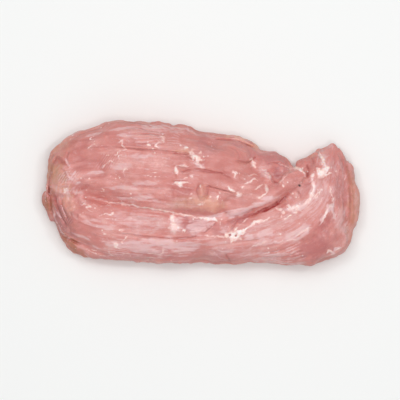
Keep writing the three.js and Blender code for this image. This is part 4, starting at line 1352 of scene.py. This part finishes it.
def patterns(s):
    """The patterns that the layers of the meat's material share."""
    look = {
        name: s.noise(s.strand(scale), detail, roughness)
        for name, (scale, detail, roughness) in STRAND_PATTERNS.items()
    }
    for name, (scale, detail) in EVEN_PATTERNS.items():
        look[name] = s.noise(s.place(scale), detail, EVEN_ROUGHNESS)
    wave = s.math("SINE", weighted(s, look, WAVE_SUM, s.across(WRINKLE_WAY)))
    look["wrinkles"] = s.math("MULTIPLY", s.spread(wave, "wave"), s.value("wrinkle"))
    return look


def flesh(s, look):
    """Red and pale muscle, tinted by the marks on it."""
    pale = s.spread(weighted(s, look, PALE_SUM), "pale")
    red = s.spread(weighted(s, look, RED_SUM), "red")
    colour = s.mix(red, s.mix(pale, FLESH, FLESH_PALE), FLESH_RED)
    for mark, share, tint in TINTS:
        colour = s.mix(s.math("MULTIPLY", s.value(mark), share), colour, tint)
    return colour


def with_skin(s, look, colour):
    """Silverskin and painted sheen, with streaks along the fibres, and fine pale flecks that are
    partly painted glints.
    """
    skin_and_sheen = weighted(s, look, SKIN_SUM, s.value("skin_and_sheen"))
    colour = s.mix(s.spread(skin_and_sheen, "skin_and_sheen"), colour, SKIN_AND_SHEEN_COLOUR)
    patch = s.spread(look["blotches"], "fleck_patch")
    flecks = s.math("MULTIPLY", s.spread(look["dots"], "fleck"), patch)
    return s.mix(flecks, colour, SKIN_AND_SHEEN_COLOUR)


def with_dots_and_glints(s, look, colour):
    """Scattered small dots: painted glints of wet sheen, partly small dots of fat."""
    distance, chance = s.cells(s.place(CELLS_PER_METRE))
    inside = s.math("SUBTRACT", s.spread(chance, "dot_radius"), distance)
    patch = s.spread(look["blotches"], "dot_patch")
    dots = s.math("MULTIPLY", s.spread(inside, "dot_edge"), patch)
    return s.mix(dots, colour, FAT_AND_GLINT_COLOUR)


def with_fat(s, look, colour):
    """Fat and painted highlights, with a soft halo round them."""
    colour = s.mix(s.spread(s.value("fat_and_glints"), "fat_halo"), colour, FAT_SHADE)
    fatty = s.mix(s.spread(look["lumps"], "fat_tone"), FAT_SHADE, FAT_AND_GLINT_COLOUR)
    return s.mix(s.spread(weighted(s, look, FAT_SUM, s.value("fat_and_glints")), "fat_and_glints"), colour, fatty)


def meat_material():
    s = Shader("raw_pork")
    look = patterns(s)
    colour = with_dots_and_glints(s, look, with_skin(s, look, flesh(s, look)))
    wrinkles = s.math("MULTIPLY", look["wrinkles"], WRINKLE_TINT)
    colour = with_fat(s, look, s.mix(wrinkles, colour, SKIN_AND_SHEEN_COLOUR))
    normal = None
    for name, distance, strength in BUMPS:
        normal = s.bump(look[name], distance, strength, normal)
    side = s.value("side")
    for name, value in {
        "Base Color": s.mix(s.value("speck"), colour, SPECK_COLOUR),
        "Roughness": s.spread(look["lumps"], "roughness"),
        "Specular IOR Level": s.spread(side, "specular"),
        "Normal": normal,
        "Coat Normal": normal,
        "Coat Weight": s.spread(side, "coat"),
        "Coat Roughness": 0.12,
        "Subsurface Weight": 0.35,
        "Subsurface Radius": (1.0, 0.4, 0.25),
        "Subsurface Scale": 0.0016,
    }.items():
        s.put(s.surface[name], value)
    return s.material


def floor_material():
    s = Shader("pale_floor")
    s.put(s.surface["Base Color"], linear(FLOOR_COLOUR))
    s.put(s.surface["Roughness"], FLOOR_ROUGHNESS)
    return s.material


def add_floor():
    bpy.ops.mesh.primitive_plane_add(size=FLOOR_SIZE)
    floor = bpy.context.object
    floor.name = "floor"
    floor.data.materials.append(floor_material())
    floor.visible_glossy = False


def add_light(name, place, size, power, glints):
    light = bpy.data.lights.new(name, "AREA")
    light.shape = "RECTANGLE"
    light.size, light.size_y = size
    light.energy = power
    lamp = bpy.data.objects.new(name, light)
    bpy.context.scene.collection.objects.link(lamp)
    lamp.location = place
    from_lamp = np.array(LIGHT_AIM) - place
    lamp.rotation_euler = Vector(from_lamp).to_track_quat("-Z", "Y").to_euler()
    lamp.visible_glossy = glints


def add_world():
    world = bpy.data.worlds.new("studio")
    bpy.context.scene.world = world
    world.use_nodes = True
    background = world.node_tree.nodes["Background"]
    background.inputs["Color"].default_value = (1, 1, 1, 1)
    background.inputs["Strength"].default_value = SKY_STRENGTH


def add_camera():
    lens = bpy.data.cameras.new("camera")
    lens.sensor_width = SENSOR_WIDTH
    lens.lens = SENSOR_WIDTH * (CAMERA_HEIGHT - RIM_HEIGHT) / FRAME_WIDTH
    camera = bpy.data.objects.new("camera", lens)
    bpy.context.scene.collection.objects.link(camera)
    camera.location = (*FRAME_MIDDLE, CAMERA_HEIGHT)
    bpy.context.scene.camera = camera


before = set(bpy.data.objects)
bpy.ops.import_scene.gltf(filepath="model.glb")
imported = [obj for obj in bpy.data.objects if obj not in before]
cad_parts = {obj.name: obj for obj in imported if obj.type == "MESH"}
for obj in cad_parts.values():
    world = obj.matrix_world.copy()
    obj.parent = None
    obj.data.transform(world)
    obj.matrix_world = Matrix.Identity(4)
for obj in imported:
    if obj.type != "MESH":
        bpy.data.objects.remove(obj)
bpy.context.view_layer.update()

meat = make_meat(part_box("tenderloin"))
meat.data.materials.append(meat_material())
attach(meat, "root")
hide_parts("tenderloin")

add_floor()
for name, light in LIGHTS.items():
    add_light(name, *light)
add_world()
add_camera()
bpy.context.scene.view_settings.view_transform = "Standard"
